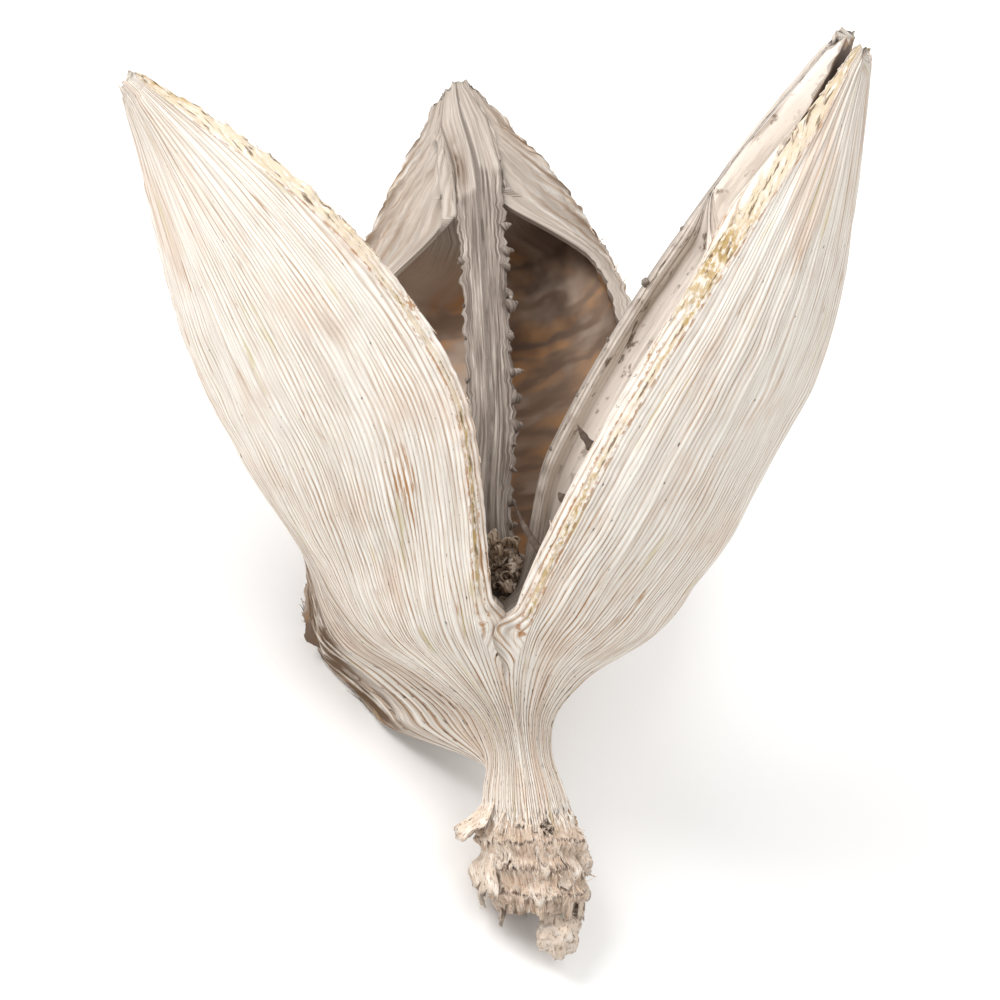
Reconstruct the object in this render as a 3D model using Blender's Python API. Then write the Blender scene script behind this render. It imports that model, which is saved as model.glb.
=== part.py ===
"""A dried three-valved seed pod on its short stalk, split open from the tip.

The pod is drawn upright in its own frame, in millimetres: +Z runs up the stalk to the tips, -Y is
the side that the two front valves stand on, and the origin is the notch between them. It is one
woody piece, so its three valves, its stalk and the torn scales of its collar are one solid.
Each valve is a third of the closed pod: a wedge whose sections are swept up the stalk, out
through the flared base and along the valve. The wedge's outer arc is the fibrous rind. Its two
flat sides are the split faces, each with a hollow half chamber behind an arched opening, and its
inner edge is the rib that was a third of the pod's middle column. The dark chaff caught in the
throat is loose, so it is a solid of its own. At the end both are laid down the way the pod lies on
a table: on the back valve, the skirt of the left valve and the collar.
"""

import math
import random
from dataclasses import dataclass

import bmesh
import bpy
import numpy as np
from mathutils import Matrix, Vector

MM = 0.001

# Sizes along the closed pod: height above the notch between the front valves, then radius.
STALK_END = -35.0
BEND_START = -9.0
BEND_END = 12.0
POD_LENGTH = 90.0
RIND_OUTLINE = (
    (STALK_END, 5.2),
    (-32.6, 6.2),
    (-31.0, 5.9),
    (-29.0, 6.5),
    (-27.6, 6.0),
    (-25.6, 6.7),
    (-24.0, 6.1),
    (-19.5, 5.2),
    (-14.0, 4.1),
    (-10.0, 5.2),
    (-5.0, 9.6),
    (0.0, 14.0),
    (8.0, 18.4),
    (20.0, 22.6),
    (31.0, 24.6),
    (44.0, 24.8),
    (56.0, 22.6),
    (66.0, 18.2),
    (76.0, 12.4),
    (84.0, 6.8),
    (POD_LENGTH, 2.6),
)
# How far the stalk leans aside below the pod: height, then millimetres towards +X.
STALK_DRIFT = ((STALK_END, 5.0), (-25.0, 3.4), (-14.0, 2.1), (-5.0, 0.6), (0.0, 0.0), (POD_LENGTH, 0.0))

# The wall: its thickness, the smooth strip beside the margin, its lip, and the outer strip that the
# split has frayed.
WALL = 1.7
FLANGE = 3.6
LIP = 0.9
LIP_SLOPE = 1.4
BAND = 2.2
BAND_ANGLE_MOST = 0.25
MARGIN_EDGE = 1.0
RAGGED = 0.35

# The rib on the old middle column, and the septum that ties it to the wall.
RIB_EDGE = 3.6
RIB_SHARE_MOST = 0.42
RIB_BACK = 1.6
RIB_CORNER = 1.1
SEPTUM = 1.5

# The half chambers: how far in their wall starts, and how the arch at their top closes.
CHAMBER_START = 3.4
ARCH_RUN = 14.0
ARCH_DROP = 2.0
ARCH_POWER = 2.5
ROOM_LEAST = 0.6

# A valve is a third of the pod. Below the notch its split faces run a little past the others', so
# that the three thirds unite.
SECTOR_HALF_ANGLE = math.radians(60.0)
SIDE_OVERLAP = 0.6
NOTCH_RUN = 3.0

# The heights between which a middle column that stands forward, and a bowed rib, come in and end.
COLUMN_RUN = (8.0, 26.0)
BOW_START = (14.0, 34.0)
BOW_END = (70.0, 88.0)

# Ridges of the rind.
RIDGES_PER_VALVE = 11
RIDGE_HEIGHT = 0.22

# Points round one section.
RIND_STEPS = 2 * RIDGES_PER_VALVE
CHAMBER_STEPS = 4

# The slit between rind and rib at the tip of the right valve.
TIP_SLIT_FROM = 76.0
TIP_SLIT_MIDDLE = 84.0
TIP_SLIT_WIDTH = 1.6
TIP_SLIT_REACH = 14.0

# How the pod lies: the direction in its own frame that points down, as an azimuth and an
# elevation in degrees, and how deep its low points are worn flat.
DOWN_AZIMUTH = 116.72
DOWN_ELEVATION = -32.14
FLAT_DEPTH = 0.5

# The loose chaff in the throat.
CHAFF_CENTER = (0.3, -1.2, 9.5)
CHAFF_RADIUS = 4.4
CHAFF_GAP = 0.35
CHAFF_CURLS = 7
CURL_SPREAD = 2.2
CURL_THICKNESS = 0.7
GOLDEN_ANGLE = math.radians(137.5)


@dataclass
class Valve:
    """One valve: where it leans, how far, how full it is, and how its two split faces open.

    Angles are in degrees. Width, tip_swell and belly change the closed pod's radius: all along, near
    the tip and near the base. Bow moves the rib aside, and column moves it forward.
    """

    name: str
    azimuth: float
    lean_base: float
    lean_tip: float
    twist: float
    width: float
    tip_swell: float
    belly: float
    length: float
    arch_tops: tuple
    flares: tuple
    column: float
    bow: float


VALVES = (
    Valve("left", 208.0, 20.0, 59.0, 27.0, 0.87, 0.05, 0.0, 91.0, (68.0, 66.0), (0.0, 17.0), 0.0, 0.0),
    Valve("right", 331.0, 26.0, 45.0, 1.0, 0.93, 0.0, 0.06, 91.0, (70.0, 66.0), (0.0, 0.0), 3.0, 0.0),
    Valve("back", 98.0, 24.0, 43.0, -14.0, 1.06, 0.05, 0.0, 90.0, (66.0, 70.0), (0.0, 0.0), 0.0, 1.8),
)


@dataclass
class Scale:
    """One torn scale of the collar: its direction, half width, root and tip, and how far it lifts."""

    azimuth: float
    half_width: float
    root: float
    tip: float
    lift: float


SCALES = (
    Scale(192.0, 26.0, -21.5, -25.2, 3.0),
    Scale(206.0, 15.0, -24.5, -33.0, 2.4),
    Scale(178.0, 17.0, -25.0, -31.0, 2.8),
    Scale(238.0, 22.0, -26.0, -28.8, 0.9),
    Scale(262.0, 24.0, -29.5, -32.8, 1.0),
    Scale(300.0, 30.0, -23.8, -26.4, 0.8),
    Scale(335.0, 26.0, -26.0, -29.8, 1.1),
    Scale(15.0, 28.0, -23.4, -27.4, 1.2),
    Scale(60.0, 26.0, -25.2, -30.4, 1.05),
    Scale(110.0, 30.0, -22.4, -26.8, 1.3),
    Scale(140.0, 24.0, -27.2, -33.2, 1.3),
)
SCALE_THICKNESS = 0.9

# The broken stub and the knob on the collar: centre, radii, and the seed of their roughness.
LUMPS = (
    ("stub", (7.0, -1.0, -37.6), (3.2, 3.0, 3.4), 3),
    ("knob", (10.2, -1.5, -28.6), (1.7, 1.6, 2.0), 4),
)
LUMP_ROUGHNESS = 0.12

# The torn teeth on the ribs: half their width, and how deep they are rooted.
TOOTH_HALF_WIDTH = 0.55
TOOTH_ROOT = 0.9


def curve_through(stations, at):
    """A smooth curve through (place, value) stations, read at the places given."""
    x, y = np.array(stations, float).T
    slope = np.gradient(y, x)
    at = np.clip(np.asarray(at, float), x[0], x[-1])
    k = np.clip(np.searchsorted(x, at) - 1, 0, len(x) - 2)
    w = x[k + 1] - x[k]
    t = (at - x[k]) / w
    rise = t * t * (3 - 2 * t)
    return (
        y[k] * (1 - rise)
        + y[k + 1] * rise
        + w * slope[k] * (t**3 - 2 * t**2 + t)
        + w * slope[k + 1] * (t**3 - t**2)
    )


def ramp(low, high, at):
    """0 below low, 1 above high, smooth between."""
    t = np.clip((at - low) / (high - low), 0, 1)
    return t * t * (3 - 2 * t)


def reach(valve, height, angle):
    """How far the rind stands from the closed pod's axis, at a height and an angle across the valve."""
    drawn = height * POD_LENGTH / valve.length if height > 0 else height
    radius = curve_through(RIND_OUTLINE, drawn)
    radius = radius * (1 + (valve.width - 1) * ramp(0, 20, height))
    radius = radius * (1 + valve.tip_swell * ramp(50, 76, height))
    radius = radius * (1 + valve.belly * ramp(-5, 12, height) * (1 - ramp(22, 48, height)))
    share = np.clip(np.asarray(angle) / SECTOR_HALF_ANGLE, -1, 1)
    low = ramp(-17.5, -10.5, height) * (1 - ramp(-5, 25, height))
    flare = np.where(share > 0, valve.flares[1], valve.flares[0])
    ragged = RAGGED * ramp(-2, 6, height) * math.sin(1.7 * height + valve.azimuth) * np.abs(share) ** 8
    return radius + flare * low * np.abs(share) ** 3.5 + ragged


def rib_shift(valve, height):
    """How far the rib stands from the old axis at a height, as (across, out)."""
    bow = valve.bow * float(ramp(*BOW_START, height) * (1 - ramp(*BOW_END, height)))
    return np.array((bow, -valve.column * float(ramp(*COLUMN_RUN, height))))


def half_section(valve, height, side):
    """The split face on one side of a section, from the rind's edge in to the rib, as (across, out)."""
    c, s = math.cos(SECTOR_HALF_ANGLE), math.sin(SECTOR_HALF_ANGLE)
    along = np.array((s, c))
    inward = np.array((-c, s))
    radius = float(reach(valve, height, side * SECTOR_HALF_ANGLE))
    middle = float(reach(valve, height, 0.0))
    arch_top = valve.arch_tops[0 if side < 0 else 1]
    flare = valve.flares[0 if side < 0 else 1]
    opening = (-6.0, 4.0) if flare else (6.0, 16.0)
    rib = min(RIB_EDGE, RIB_SHARE_MOST * middle)
    column = rib_shift(valve, height) * (side, 1)
    open_share = float(ramp(*opening, height) * (1 - ramp(arch_top - ARCH_DROP, arch_top, height)))
    arch = float(ramp(arch_top - ARCH_RUN, arch_top, height))
    room = radius - rib
    flange = min(FLANGE + (room - FLANGE) * arch**ARCH_POWER, room - ROOM_LEAST)
    flange = max(flange, 0.35 * room) if room < 3 * FLANGE else flange
    overlap = -SIDE_OVERLAP * float(1 - ramp(-NOTCH_RUN, NOTCH_RUN, height))
    edge = min(MARGIN_EDGE, 0.2 * radius)
    points = [
        (radius - edge) * along + overlap * inward,
        (radius - flange) * along + overlap * inward,
    ]
    deep = [
        (radius - flange + 0.3) * along + LIP * inward,
        (radius - WALL - LIP) * along + (LIP + LIP_SLOPE) * inward,
    ]
    start = SECTOR_HALF_ANGLE - CHAMBER_START / max(radius, 5.0)
    back = middle - WALL
    end = math.asin(min(0.9, SEPTUM / 2 / max(back, 2.0)))
    for angle in np.linspace(start, end, CHAMBER_STEPS):
        inner = float(reach(valve, height, side * angle)) - WALL
        deep.append(inner * np.array((math.sin(angle), math.cos(angle))))
    rib_back = rib * c + RIB_BACK
    deep.append(np.array((SEPTUM / 2, rib_back + 0.45 * (back - rib_back))) + 0.4 * column)
    deep.append(np.array((SEPTUM / 2, rib_back)) + column)
    deep.append(rib * along + RIB_CORNER * inward + column)
    shut_radii = np.linspace(radius - flange, rib, len(deep) + 2)[1:-1]
    for wall, shut_radius in zip(deep, shut_radii):
        shut = shut_radius * along + (overlap + 0.05 * open_share) * inward
        shut = shut + column * (1 - (shut_radius - rib) / max(room, 0.1))
        points.append(shut + (wall - shut) * open_share)
    points.append(rib * along + overlap * inward + column)
    points.append(0.5 * rib * along + overlap * inward + column)
    points = np.array(points)
    points[:, 0] *= side
    return points


def section(valve, height):
    """The closed outline of the wedge at a height along the closed pod, as (across, out) points."""
    middle = float(reach(valve, height, 0.0))
    half = SECTOR_HALF_ANGLE - min(BAND / middle, BAND_ANGLE_MOST)
    angles = np.linspace(-half, half, RIND_STEPS + 1)
    ridges = RIDGE_HEIGHT * min(1.0, middle / 8.0) * np.cos(np.pi * np.arange(RIND_STEPS + 1))
    rind = reach(valve, height, angles) + ridges
    arc = np.stack([rind * np.sin(angles), rind * np.cos(angles)], 1)
    overlap = SIDE_OVERLAP * float(1 - ramp(-NOTCH_RUN, NOTCH_RUN, height))
    apex = np.array((0.0, 0.4 - 1.6 * overlap)) + rib_shift(valve, height)
    right = half_section(valve, height, 1)
    left = half_section(valve, height, -1)
    return np.concatenate([arc, right, apex[None], left[::-1]])


def lean_at(valve, height):
    """How far the valve leans out at a height, in radians."""
    lean = valve.lean_base * ramp(BEND_START, BEND_END, height)
    rest = np.clip((height - BEND_END) / (valve.length - BEND_END), 0, 1)
    return np.radians(lean + (valve.lean_tip - valve.lean_base) * rest)


def spine_at(valve, height):
    """How far out and how high the pod's old axis lies on the leaned valve, at a height."""
    if height <= BEND_START:
        return 0.0, height
    steps = np.linspace(BEND_START, height, 200)
    lean = lean_at(valve, steps)
    width = steps[1] - steps[0]
    middle = (lean[1:] + lean[:-1]) / 2
    return float(np.sin(middle).sum() * width), BEND_START + float(np.cos(middle).sum() * width)


def placed(valve, outline, height):
    """The section's points in the upright pod's frame, with the valve leaned out and twisted."""
    turn = math.radians(valve.azimuth)
    out = np.array((math.cos(turn), math.sin(turn), 0.0))
    across = np.array((math.sin(turn), -math.cos(turn), 0.0))
    up = np.array((0.0, 0.0, 1.0))
    twist = math.radians(valve.twist) * float(ramp(-6, 40, height))
    t, n = outline[:, :1], outline[:, 1:]
    t, n = t * math.cos(twist) - n * math.sin(twist), t * math.sin(twist) + n * math.cos(twist)
    lean = float(lean_at(valve, height))
    lean_out = out * math.cos(lean) - up * math.sin(lean)
    spine_out, spine_up = spine_at(valve, height)
    drift = np.array((float(curve_through(STALK_DRIFT, height)), 0.0, 0.0))
    return t * across + n * lean_out + spine_out * out + spine_up * up + drift


def rings(valve):
    """All rings of one wedge, from the stalk's end to the tip, as an array of points."""
    top = max(valve.arch_tops)
    heights = np.concatenate([
        [STALK_END, -32.6, -31.0, -29.0, -27.6, -25.6, -24.0, -19.5],
        np.linspace(-14, 14, 10),
        np.linspace(18, top - 14, 8),
        np.linspace(top - 12, top + 1, 6),
        np.linspace(top + 5, valve.length, 4),
    ])
    return np.array([placed(valve, section(valve, h), h) for h in heights])


def lofted(name, points):
    """A closed mesh object from rings of points in millimetres, with flat ends."""
    count, around = points.shape[:2]
    vertices = [Vector(p) * MM for ring in points for p in ring]
    faces = []
    for i in range(count - 1):
        for j in range(around):
            k = (j + 1) % around
            faces.append((i * around + j, (i + 1) * around + j, (i + 1) * around + k, i * around + k))
    faces.append(tuple(range(around)))
    faces.append(tuple((count - 1) * around + j for j in reversed(range(around))))
    mesh = bpy.data.meshes.new(name)
    mesh.from_pydata(vertices, [], faces)
    mesh.validate()
    shaped = bmesh.new()
    shaped.from_mesh(mesh)
    bmesh.ops.recalc_face_normals(shaped, faces=shaped.faces)
    shaped.to_mesh(mesh)
    shaped.free()
    return bpy.data.objects.new(name, mesh)


def stalk_point(azimuth, height, radius):
    """A point beside the stalk's axis."""
    turn = math.radians(azimuth)
    drift = float(curve_through(STALK_DRIFT, height))
    return np.array((drift + radius * math.cos(turn), radius * math.sin(turn), height))


def scale_blade(scale):
    """A torn scale of the collar: a thin curved blade, rooted in the stalk, that lifts at its tip."""
    sections = []
    for share in np.linspace(-1.0, 1.0, 6):
        azimuth = scale.azimuth + share * scale.half_width
        tear = 0.16 * math.sin(5.0 * share + scale.azimuth)
        tip = scale.tip + (scale.root - scale.tip) * tear
        root_radius = float(curve_through(RIND_OUTLINE, scale.root)) - 0.5
        tip_radius = float(curve_through(RIND_OUTLINE, tip)) + scale.lift * (1 - 0.5 * share**2)
        middle = (scale.root + tip) / 2
        middle_radius = (root_radius + tip_radius) / 2 + 0.3
        sections.append([
            stalk_point(azimuth, scale.root + 0.6, root_radius),
            stalk_point(azimuth, middle, middle_radius),
            stalk_point(azimuth, tip, tip_radius),
            stalk_point(azimuth, tip + 0.2, tip_radius - SCALE_THICKNESS),
            stalk_point(azimuth, middle - 0.4, middle_radius - 1.3 * SCALE_THICKNESS),
            stalk_point(azimuth, scale.root - 1.2, root_radius - SCALE_THICKNESS),
        ])
    return lofted("scale", np.array(sections))


def lump(name, center, radii, seed):
    """A rough rounded lump."""
    draw = random.Random(seed)
    shaped = bmesh.new()
    bmesh.ops.create_icosphere(shaped, subdivisions=2, radius=1.0)
    for vertex in shaped.verts:
        size = 1.0 + draw.uniform(-LUMP_ROUGHNESS, LUMP_ROUGHNESS)
        vertex.co = Vector(center) * MM + Vector(v * r * size for v, r in zip(vertex.co, radii)) * MM
    mesh = bpy.data.meshes.new(name)
    shaped.to_mesh(mesh)
    shaped.free()
    return bpy.data.objects.new(name, mesh)


def tooth(root, tip):
    """A four-sided point from a root to a tip."""
    shaped = bmesh.new()
    base = []
    for x, y in ((1, 0), (0, 1), (-1, 0), (0, -1)):
        offset = Vector((x, y, 2 * x)) * TOOTH_HALF_WIDTH
        base.append(shaped.verts.new((Vector(root) + offset) * MM))
    top = shaped.verts.new(Vector(tip) * MM)
    shaped.faces.new(base)
    for k in range(4):
        shaped.faces.new((base[k], base[(k + 1) % 4], top))
    bmesh.ops.recalc_face_normals(shaped, faces=shaped.faces)
    mesh = bpy.data.meshes.new("tooth")
    shaped.to_mesh(mesh)
    shaped.free()
    return bpy.data.objects.new("tooth", mesh)


def teeth(valve, side, heights, seed):
    """The torn teeth along one edge of a valve's rib, where the seeds' stalks broke off."""
    draw = random.Random(seed)
    made = []
    for height in heights:
        height += draw.uniform(-0.8, 0.8)
        edge, inner = half_section(valve, height, side)[-2:]
        away = (edge - inner) / np.linalg.norm(edge - inner)
        outline = np.array([edge - TOOTH_ROOT * away, edge + draw.uniform(0.7, 1.5) * away])
        root, tip = placed(valve, outline, height)
        made.append(tooth(root, tip + (0, 0, draw.uniform(0.2, 1.2))))
    return made


def tip_slit(valve):
    """The cutter of the slit that parts the rind from the rib at a valve's tip."""
    sections = []
    for height in (TIP_SLIT_FROM, TIP_SLIT_MIDDLE, valve.length + 3.0):
        share = (height - TIP_SLIT_FROM) / (valve.length - TIP_SLIT_FROM)
        middle = 0.45 * float(reach(valve, min(height, valve.length), 0.0)) - 0.4 * valve.column
        half = max(0.05, TIP_SLIT_WIDTH / 2 * share)
        low, high = middle - half, middle + half
        left, right = -TIP_SLIT_REACH, TIP_SLIT_REACH
        outline = np.array([(left, low), (right, low), (right, high), (left, high)])
        sections.append(placed(valve, outline, height))
    return lofted("slit", np.array(sections))


def curl(center, radius, start, turn, width, lean, seed):
    """A curled dry flake: a strip bent along an arc."""
    draw = random.Random(seed)
    sections = []
    axis = Matrix.Rotation(lean[0], 3, "X") @ Matrix.Rotation(lean[1], 3, "Z")
    for share in np.linspace(0.0, 1.0, 9):
        angle = start + turn * share
        bend = radius * (1 - 0.35 * share) * (1 + draw.uniform(-0.06, 0.06))
        half = width / 2 * (1 - 0.5 * share) * (1 + draw.uniform(-0.15, 0.15))
        ring = []
        for across, depth in ((-half, 0), (half, 0), (half, CURL_THICKNESS), (-half, CURL_THICKNESS)):
            local = Vector(((bend + depth) * math.cos(angle), across, (bend + depth) * math.sin(angle)))
            ring.append(np.array(axis @ local) + np.array(center))
        sections.append(ring)
    return lofted("curl", np.array(sections))


def grown(item, gap):
    """A copy of an object with its surface moved outwards by a gap in millimetres."""
    copy = bpy.data.objects.new(item.name + "_grown", item.data.copy())
    copy.data.update()
    normals = [vertex.normal.copy() for vertex in copy.data.vertices]
    for vertex, normal in zip(copy.data.vertices, normals):
        vertex.co += normal * gap * MM
    return copy


def keep_largest(item):
    """Drops the loose scraps of an object's mesh, and keeps its largest body."""
    shaped = bmesh.new()
    shaped.from_mesh(item.data)
    bodies, seen = [], set()
    for start in shaped.verts:
        if start in seen:
            continue
        body, queue = [], [start]
        seen.add(start)
        while queue:
            vertex = queue.pop()
            body.append(vertex)
            for edge in vertex.link_edges:
                other = edge.other_vert(vertex)
                if other not in seen:
                    seen.add(other)
                    queue.append(other)
        bodies.append(body)
    bodies.sort(key=len)
    bmesh.ops.delete(shaped, geom=[vertex for body in bodies[:-1] for vertex in body], context="VERTS")
    shaped.to_mesh(item.data)
    shaped.free()


def make_chaff(pod):
    """The loose curled flakes in the throat, as one solid clear of the pod."""
    draw = random.Random(11)
    chaff = link(lump("seed_chaff", CHAFF_CENTER, (CHAFF_RADIUS,) * 3, 12))
    curls = []
    for k in range(CHAFF_CURLS):
        turn = k * GOLDEN_ANGLE
        offset = (CURL_SPREAD * math.cos(turn), CURL_SPREAD * math.sin(turn), draw.uniform(0.0, 4.5))
        center = [c + o for c, o in zip(CHAFF_CENTER, offset)]
        lean = (draw.uniform(-0.9, 0.9), turn)
        curls.append(curl(center, draw.uniform(1.6, 2.6), draw.uniform(-0.6, 0.8), 3.6, 3.4, lean, 20 + k))
    joined(chaff, curls)
    joined(chaff, [grown(pod, CHAFF_GAP)], "DIFFERENCE")
    keep_largest(chaff)
    return chaff


def lying_down(items):
    """Turns the objects so that the pod lies on its low points, worn flat there, on the ground."""
    azimuth, elevation = math.radians(DOWN_AZIMUTH), math.radians(DOWN_ELEVATION)
    down = Vector((
        math.cos(elevation) * math.cos(azimuth),
        math.cos(elevation) * math.sin(azimuth),
        math.sin(elevation),
    ))
    forward = (Vector((0, 0, 1)) - down * down.z).normalized()
    side = forward.cross(-down)
    turn = Matrix((side, forward, -down)).to_4x4()
    for item in items:
        item.data.transform(turn)
    lowest = min(vertex.co.z for vertex in items[0].data.vertices)
    low_x = [vertex.co.x for vertex in items[0].data.vertices]
    low_y = [vertex.co.y for vertex in items[0].data.vertices]
    middle = ((min(low_x) + max(low_x)) / 2, (min(low_y) + max(low_y)) / 2)
    shift = Matrix.Translation((-middle[0], -middle[1], -lowest - FLAT_DEPTH * MM))
    for item in items:
        item.data.transform(shift)


def ground_cutter():
    """A block below the ground."""
    shaped = bmesh.new()
    bmesh.ops.create_cube(shaped, size=0.3, matrix=Matrix.Translation((0, 0, -0.15)))
    mesh = bpy.data.meshes.new("ground")
    shaped.to_mesh(mesh)
    shaped.free()
    return bpy.data.objects.new("ground", mesh)


def finish(item, name, hex_color, roughness):
    """Gives an object its plain material and smooth shading with sharp edges kept."""
    material = bpy.data.materials.new(name)
    material.use_nodes = True
    shader = material.node_tree.nodes["Principled BSDF"]
    channels = [int(hex_color[k:k + 2], 16) / 255 for k in (1, 3, 5)]
    linear = [c / 12.92 if c <= 0.04045 else ((c + 0.055) / 1.055) ** 2.4 for c in channels]
    shader.inputs["Base Color"].default_value = (*linear, 1.0)
    shader.inputs["Roughness"].default_value = roughness
    shader.inputs["Metallic"].default_value = 0.0
    item.data.materials.clear()
    item.data.materials.append(material)
    item.data.shade_smooth()
    item.data.set_sharp_from_angle(angle=math.radians(25))


def clear_scene():
    """Removes what the start-up file holds."""
    for item in list(bpy.data.objects):
        bpy.data.objects.remove(item)


def link(item):
    """Puts an object in the scene, and gives it back."""
    bpy.context.scene.collection.objects.link(item)
    return item


def apply_modifiers(item):
    """Replaces the object's mesh with what its modifiers make of it."""
    graph = bpy.context.evaluated_depsgraph_get()
    mesh = bpy.data.meshes.new_from_object(item.evaluated_get(graph))
    item.modifiers.clear()
    item.data = mesh


def joined(item, others, operation="UNION"):
    """The object with the others united with it, or cut from it, and then removed."""
    group = bpy.data.collections.new("tools")
    bpy.context.scene.collection.children.link(group)
    for other in others:
        group.objects.link(other)
    boolean = item.modifiers.new("join", "BOOLEAN")
    boolean.operation = operation
    boolean.operand_type = "COLLECTION"
    boolean.collection = group
    boolean.solver = "MANIFOLD"
    apply_modifiers(item)
    for other in others:
        bpy.data.objects.remove(other)
    bpy.data.collections.remove(group)
    return item


def make_pod():
    """The three valves, the stalk and its collar, as one solid."""
    valves = [lofted(valve.name, rings(valve)) for valve in VALVES]
    pod = link(valves[0])
    pod.name = "pod"
    extras = [scale_blade(scale) for scale in SCALES]
    extras += [lump(*values) for values in LUMPS]
    _, right, back = VALVES
    extras += teeth(back, 1, np.arange(20, 62, 4.2), 5)
    extras += teeth(right, -1, np.arange(24, 64, 5.6), 6)
    joined(pod, valves[1:] + extras)
    return joined(pod, [tip_slit(right)], "DIFFERENCE")


def main():
    """Makes the pod and its chaff, lays them down and gives them their plain finishes."""
    clear_scene()
    pod = make_pod()
    chaff = make_chaff(pod)
    lying_down([pod, chaff])
    joined(pod, [ground_cutter()], "DIFFERENCE")
    finish(pod, "bleached_rind", "#E4DCCF", 0.78)
    finish(chaff, "dried_chaff", "#5A4A3C", 0.85)


main()
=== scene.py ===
"""The looks of a dried, bleached, three-valved seed pod that lies on its back valve.

Every piece is modelled in the pod's own upright frame, in millimetres: +Z runs up the stalk to
the tips, -Y is the side that the two front valves stand on, and the origin is the notch between
them. Pose.lay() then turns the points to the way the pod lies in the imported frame.
"""
import functools
import logging
import math
from dataclasses import dataclass, field
from enum import Enum
from typing import NamedTuple, Sequence

import bmesh
import bpy
import numpy as np
from mathutils import Matrix, Vector


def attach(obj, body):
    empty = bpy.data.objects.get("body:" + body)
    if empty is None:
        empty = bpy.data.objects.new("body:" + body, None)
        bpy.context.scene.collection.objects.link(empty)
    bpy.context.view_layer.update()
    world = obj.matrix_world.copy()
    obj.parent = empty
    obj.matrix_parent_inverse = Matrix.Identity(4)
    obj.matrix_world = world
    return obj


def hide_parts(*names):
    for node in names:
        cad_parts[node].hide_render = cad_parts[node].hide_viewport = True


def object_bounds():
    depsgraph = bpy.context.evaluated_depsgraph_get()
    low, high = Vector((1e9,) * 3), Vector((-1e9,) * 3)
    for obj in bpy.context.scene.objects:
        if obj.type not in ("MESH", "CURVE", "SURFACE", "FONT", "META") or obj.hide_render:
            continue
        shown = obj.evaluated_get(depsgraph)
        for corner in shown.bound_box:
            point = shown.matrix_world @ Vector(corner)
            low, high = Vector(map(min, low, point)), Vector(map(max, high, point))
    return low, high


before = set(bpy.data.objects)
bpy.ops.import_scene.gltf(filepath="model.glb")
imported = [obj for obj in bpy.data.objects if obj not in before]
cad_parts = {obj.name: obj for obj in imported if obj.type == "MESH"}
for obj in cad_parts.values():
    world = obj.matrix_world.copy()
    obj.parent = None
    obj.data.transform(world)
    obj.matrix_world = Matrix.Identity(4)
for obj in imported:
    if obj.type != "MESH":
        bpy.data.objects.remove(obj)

LOG = logging.getLogger("seed_pod")
MM = 0.001
CAD_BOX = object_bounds()
Socket = bpy.types.NodeSocket


class Slot(Enum):
    """The record's material slots."""

    RIND = "bleached_rind"
    CHAFF = "dried_chaff"


def ramp(low: float, high: float, at: float | np.ndarray) -> np.ndarray:
    """0 below low, 1 above high, smooth between."""
    t = np.clip((np.asarray(at, float) - low) / (high - low), 0, 1)
    return t * t * (3 - 2 * t)


def window(zone: tuple[float, float, float, float], height: float) -> float:
    """1 within a zone and 0 outside it; a zone is (starts, full from, full to, ends)."""
    return float(ramp(zone[0], zone[1], height) * (1 - ramp(zone[2], zone[3], height)))



def curve_through(stations: Sequence[tuple[float, float]], at: float | np.ndarray) -> np.ndarray:
    """A smooth curve through stations.

    Args:
        stations: places and values, in order of place.
        at: the places to read.

    Returns:
        The curve's values at the places.
    """
    x, y = np.array(stations, float).T
    slope = np.gradient(y, x)
    at = np.clip(np.asarray(at, float), x[0], x[-1])
    k = np.clip(np.searchsorted(x, at) - 1, 0, len(x) - 2)
    w = x[k + 1] - x[k]
    t = (at - x[k]) / w
    rise = t * t * (3 - 2 * t)
    near = y[k] * (1 - rise) + y[k + 1] * rise
    return near + w * slope[k] * (t**3 - 2 * t**2 + t) + w * slope[k + 1] * (t**3 - t**2)


class Grain:
    """Smooth seeded noise over a plane, between -1 and 1."""

    SIZE = 256

    def __init__(self, seed: int) -> None:
        """Draws the values between which the noise runs."""
        self.values = np.random.default_rng(seed).uniform(-1, 1, (self.SIZE, self.SIZE))

    def at(self, u: float | np.ndarray, v: float | np.ndarray) -> np.ndarray:
        """The noise at places.

        Args:
            u: the places' first coordinates.
            v: their second coordinates.

        Returns:
            The noise at each place.
        """
        u, v = np.broadcast_arrays(np.asarray(u, float), np.asarray(v, float))
        i, j = np.floor(u).astype(int), np.floor(v).astype(int)
        s, t = u - i, v - j
        s, t = s * s * (3 - 2 * s), t * t * (3 - 2 * t)
        i, j, i1, j1 = i % self.SIZE, j % self.SIZE, (i + 1) % self.SIZE, (j + 1) % self.SIZE
        g = self.values
        low = g[i, j] * (1 - s) + g[i1, j] * s
        high = g[i, j1] * (1 - s) + g[i1, j1] * s
        return low * (1 - t) + high * t


@dataclass
class Pose:
    """How the pod lies: which way its own frame points down, and where its notch then is."""

    down_azimuth: float = 116.72
    down_elevation: float = -32.14
    notch: tuple[float, float, float] = (9.601, -25.448, 21.415)

    def turn(self) -> Matrix:
        """The turn from the upright pod to the lying one."""
        azimuth, elevation = math.radians(self.down_azimuth), math.radians(self.down_elevation)
        level = math.cos(elevation)
        down = Vector((level * math.cos(azimuth), level * math.sin(azimuth), math.sin(elevation)))
        forward = (Vector((0, 0, 1)) - down * down.z).normalized()
        return Matrix((forward.cross(-down), forward, -down))

    def lay(self, points: np.ndarray) -> np.ndarray:
        """Points of the upright pod in millimetres, as points of the frame in metres.

        Args:
            points: an array of points in the upright pod's frame.

        Returns:
            The points as they lie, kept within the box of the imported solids.
        """
        laid = (points @ np.array(self.turn()).T + np.array(self.notch)) * MM
        return np.clip(laid, np.array(CAD_BOX[0]), np.array(CAD_BOX[1]))


POSE = Pose()


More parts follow.
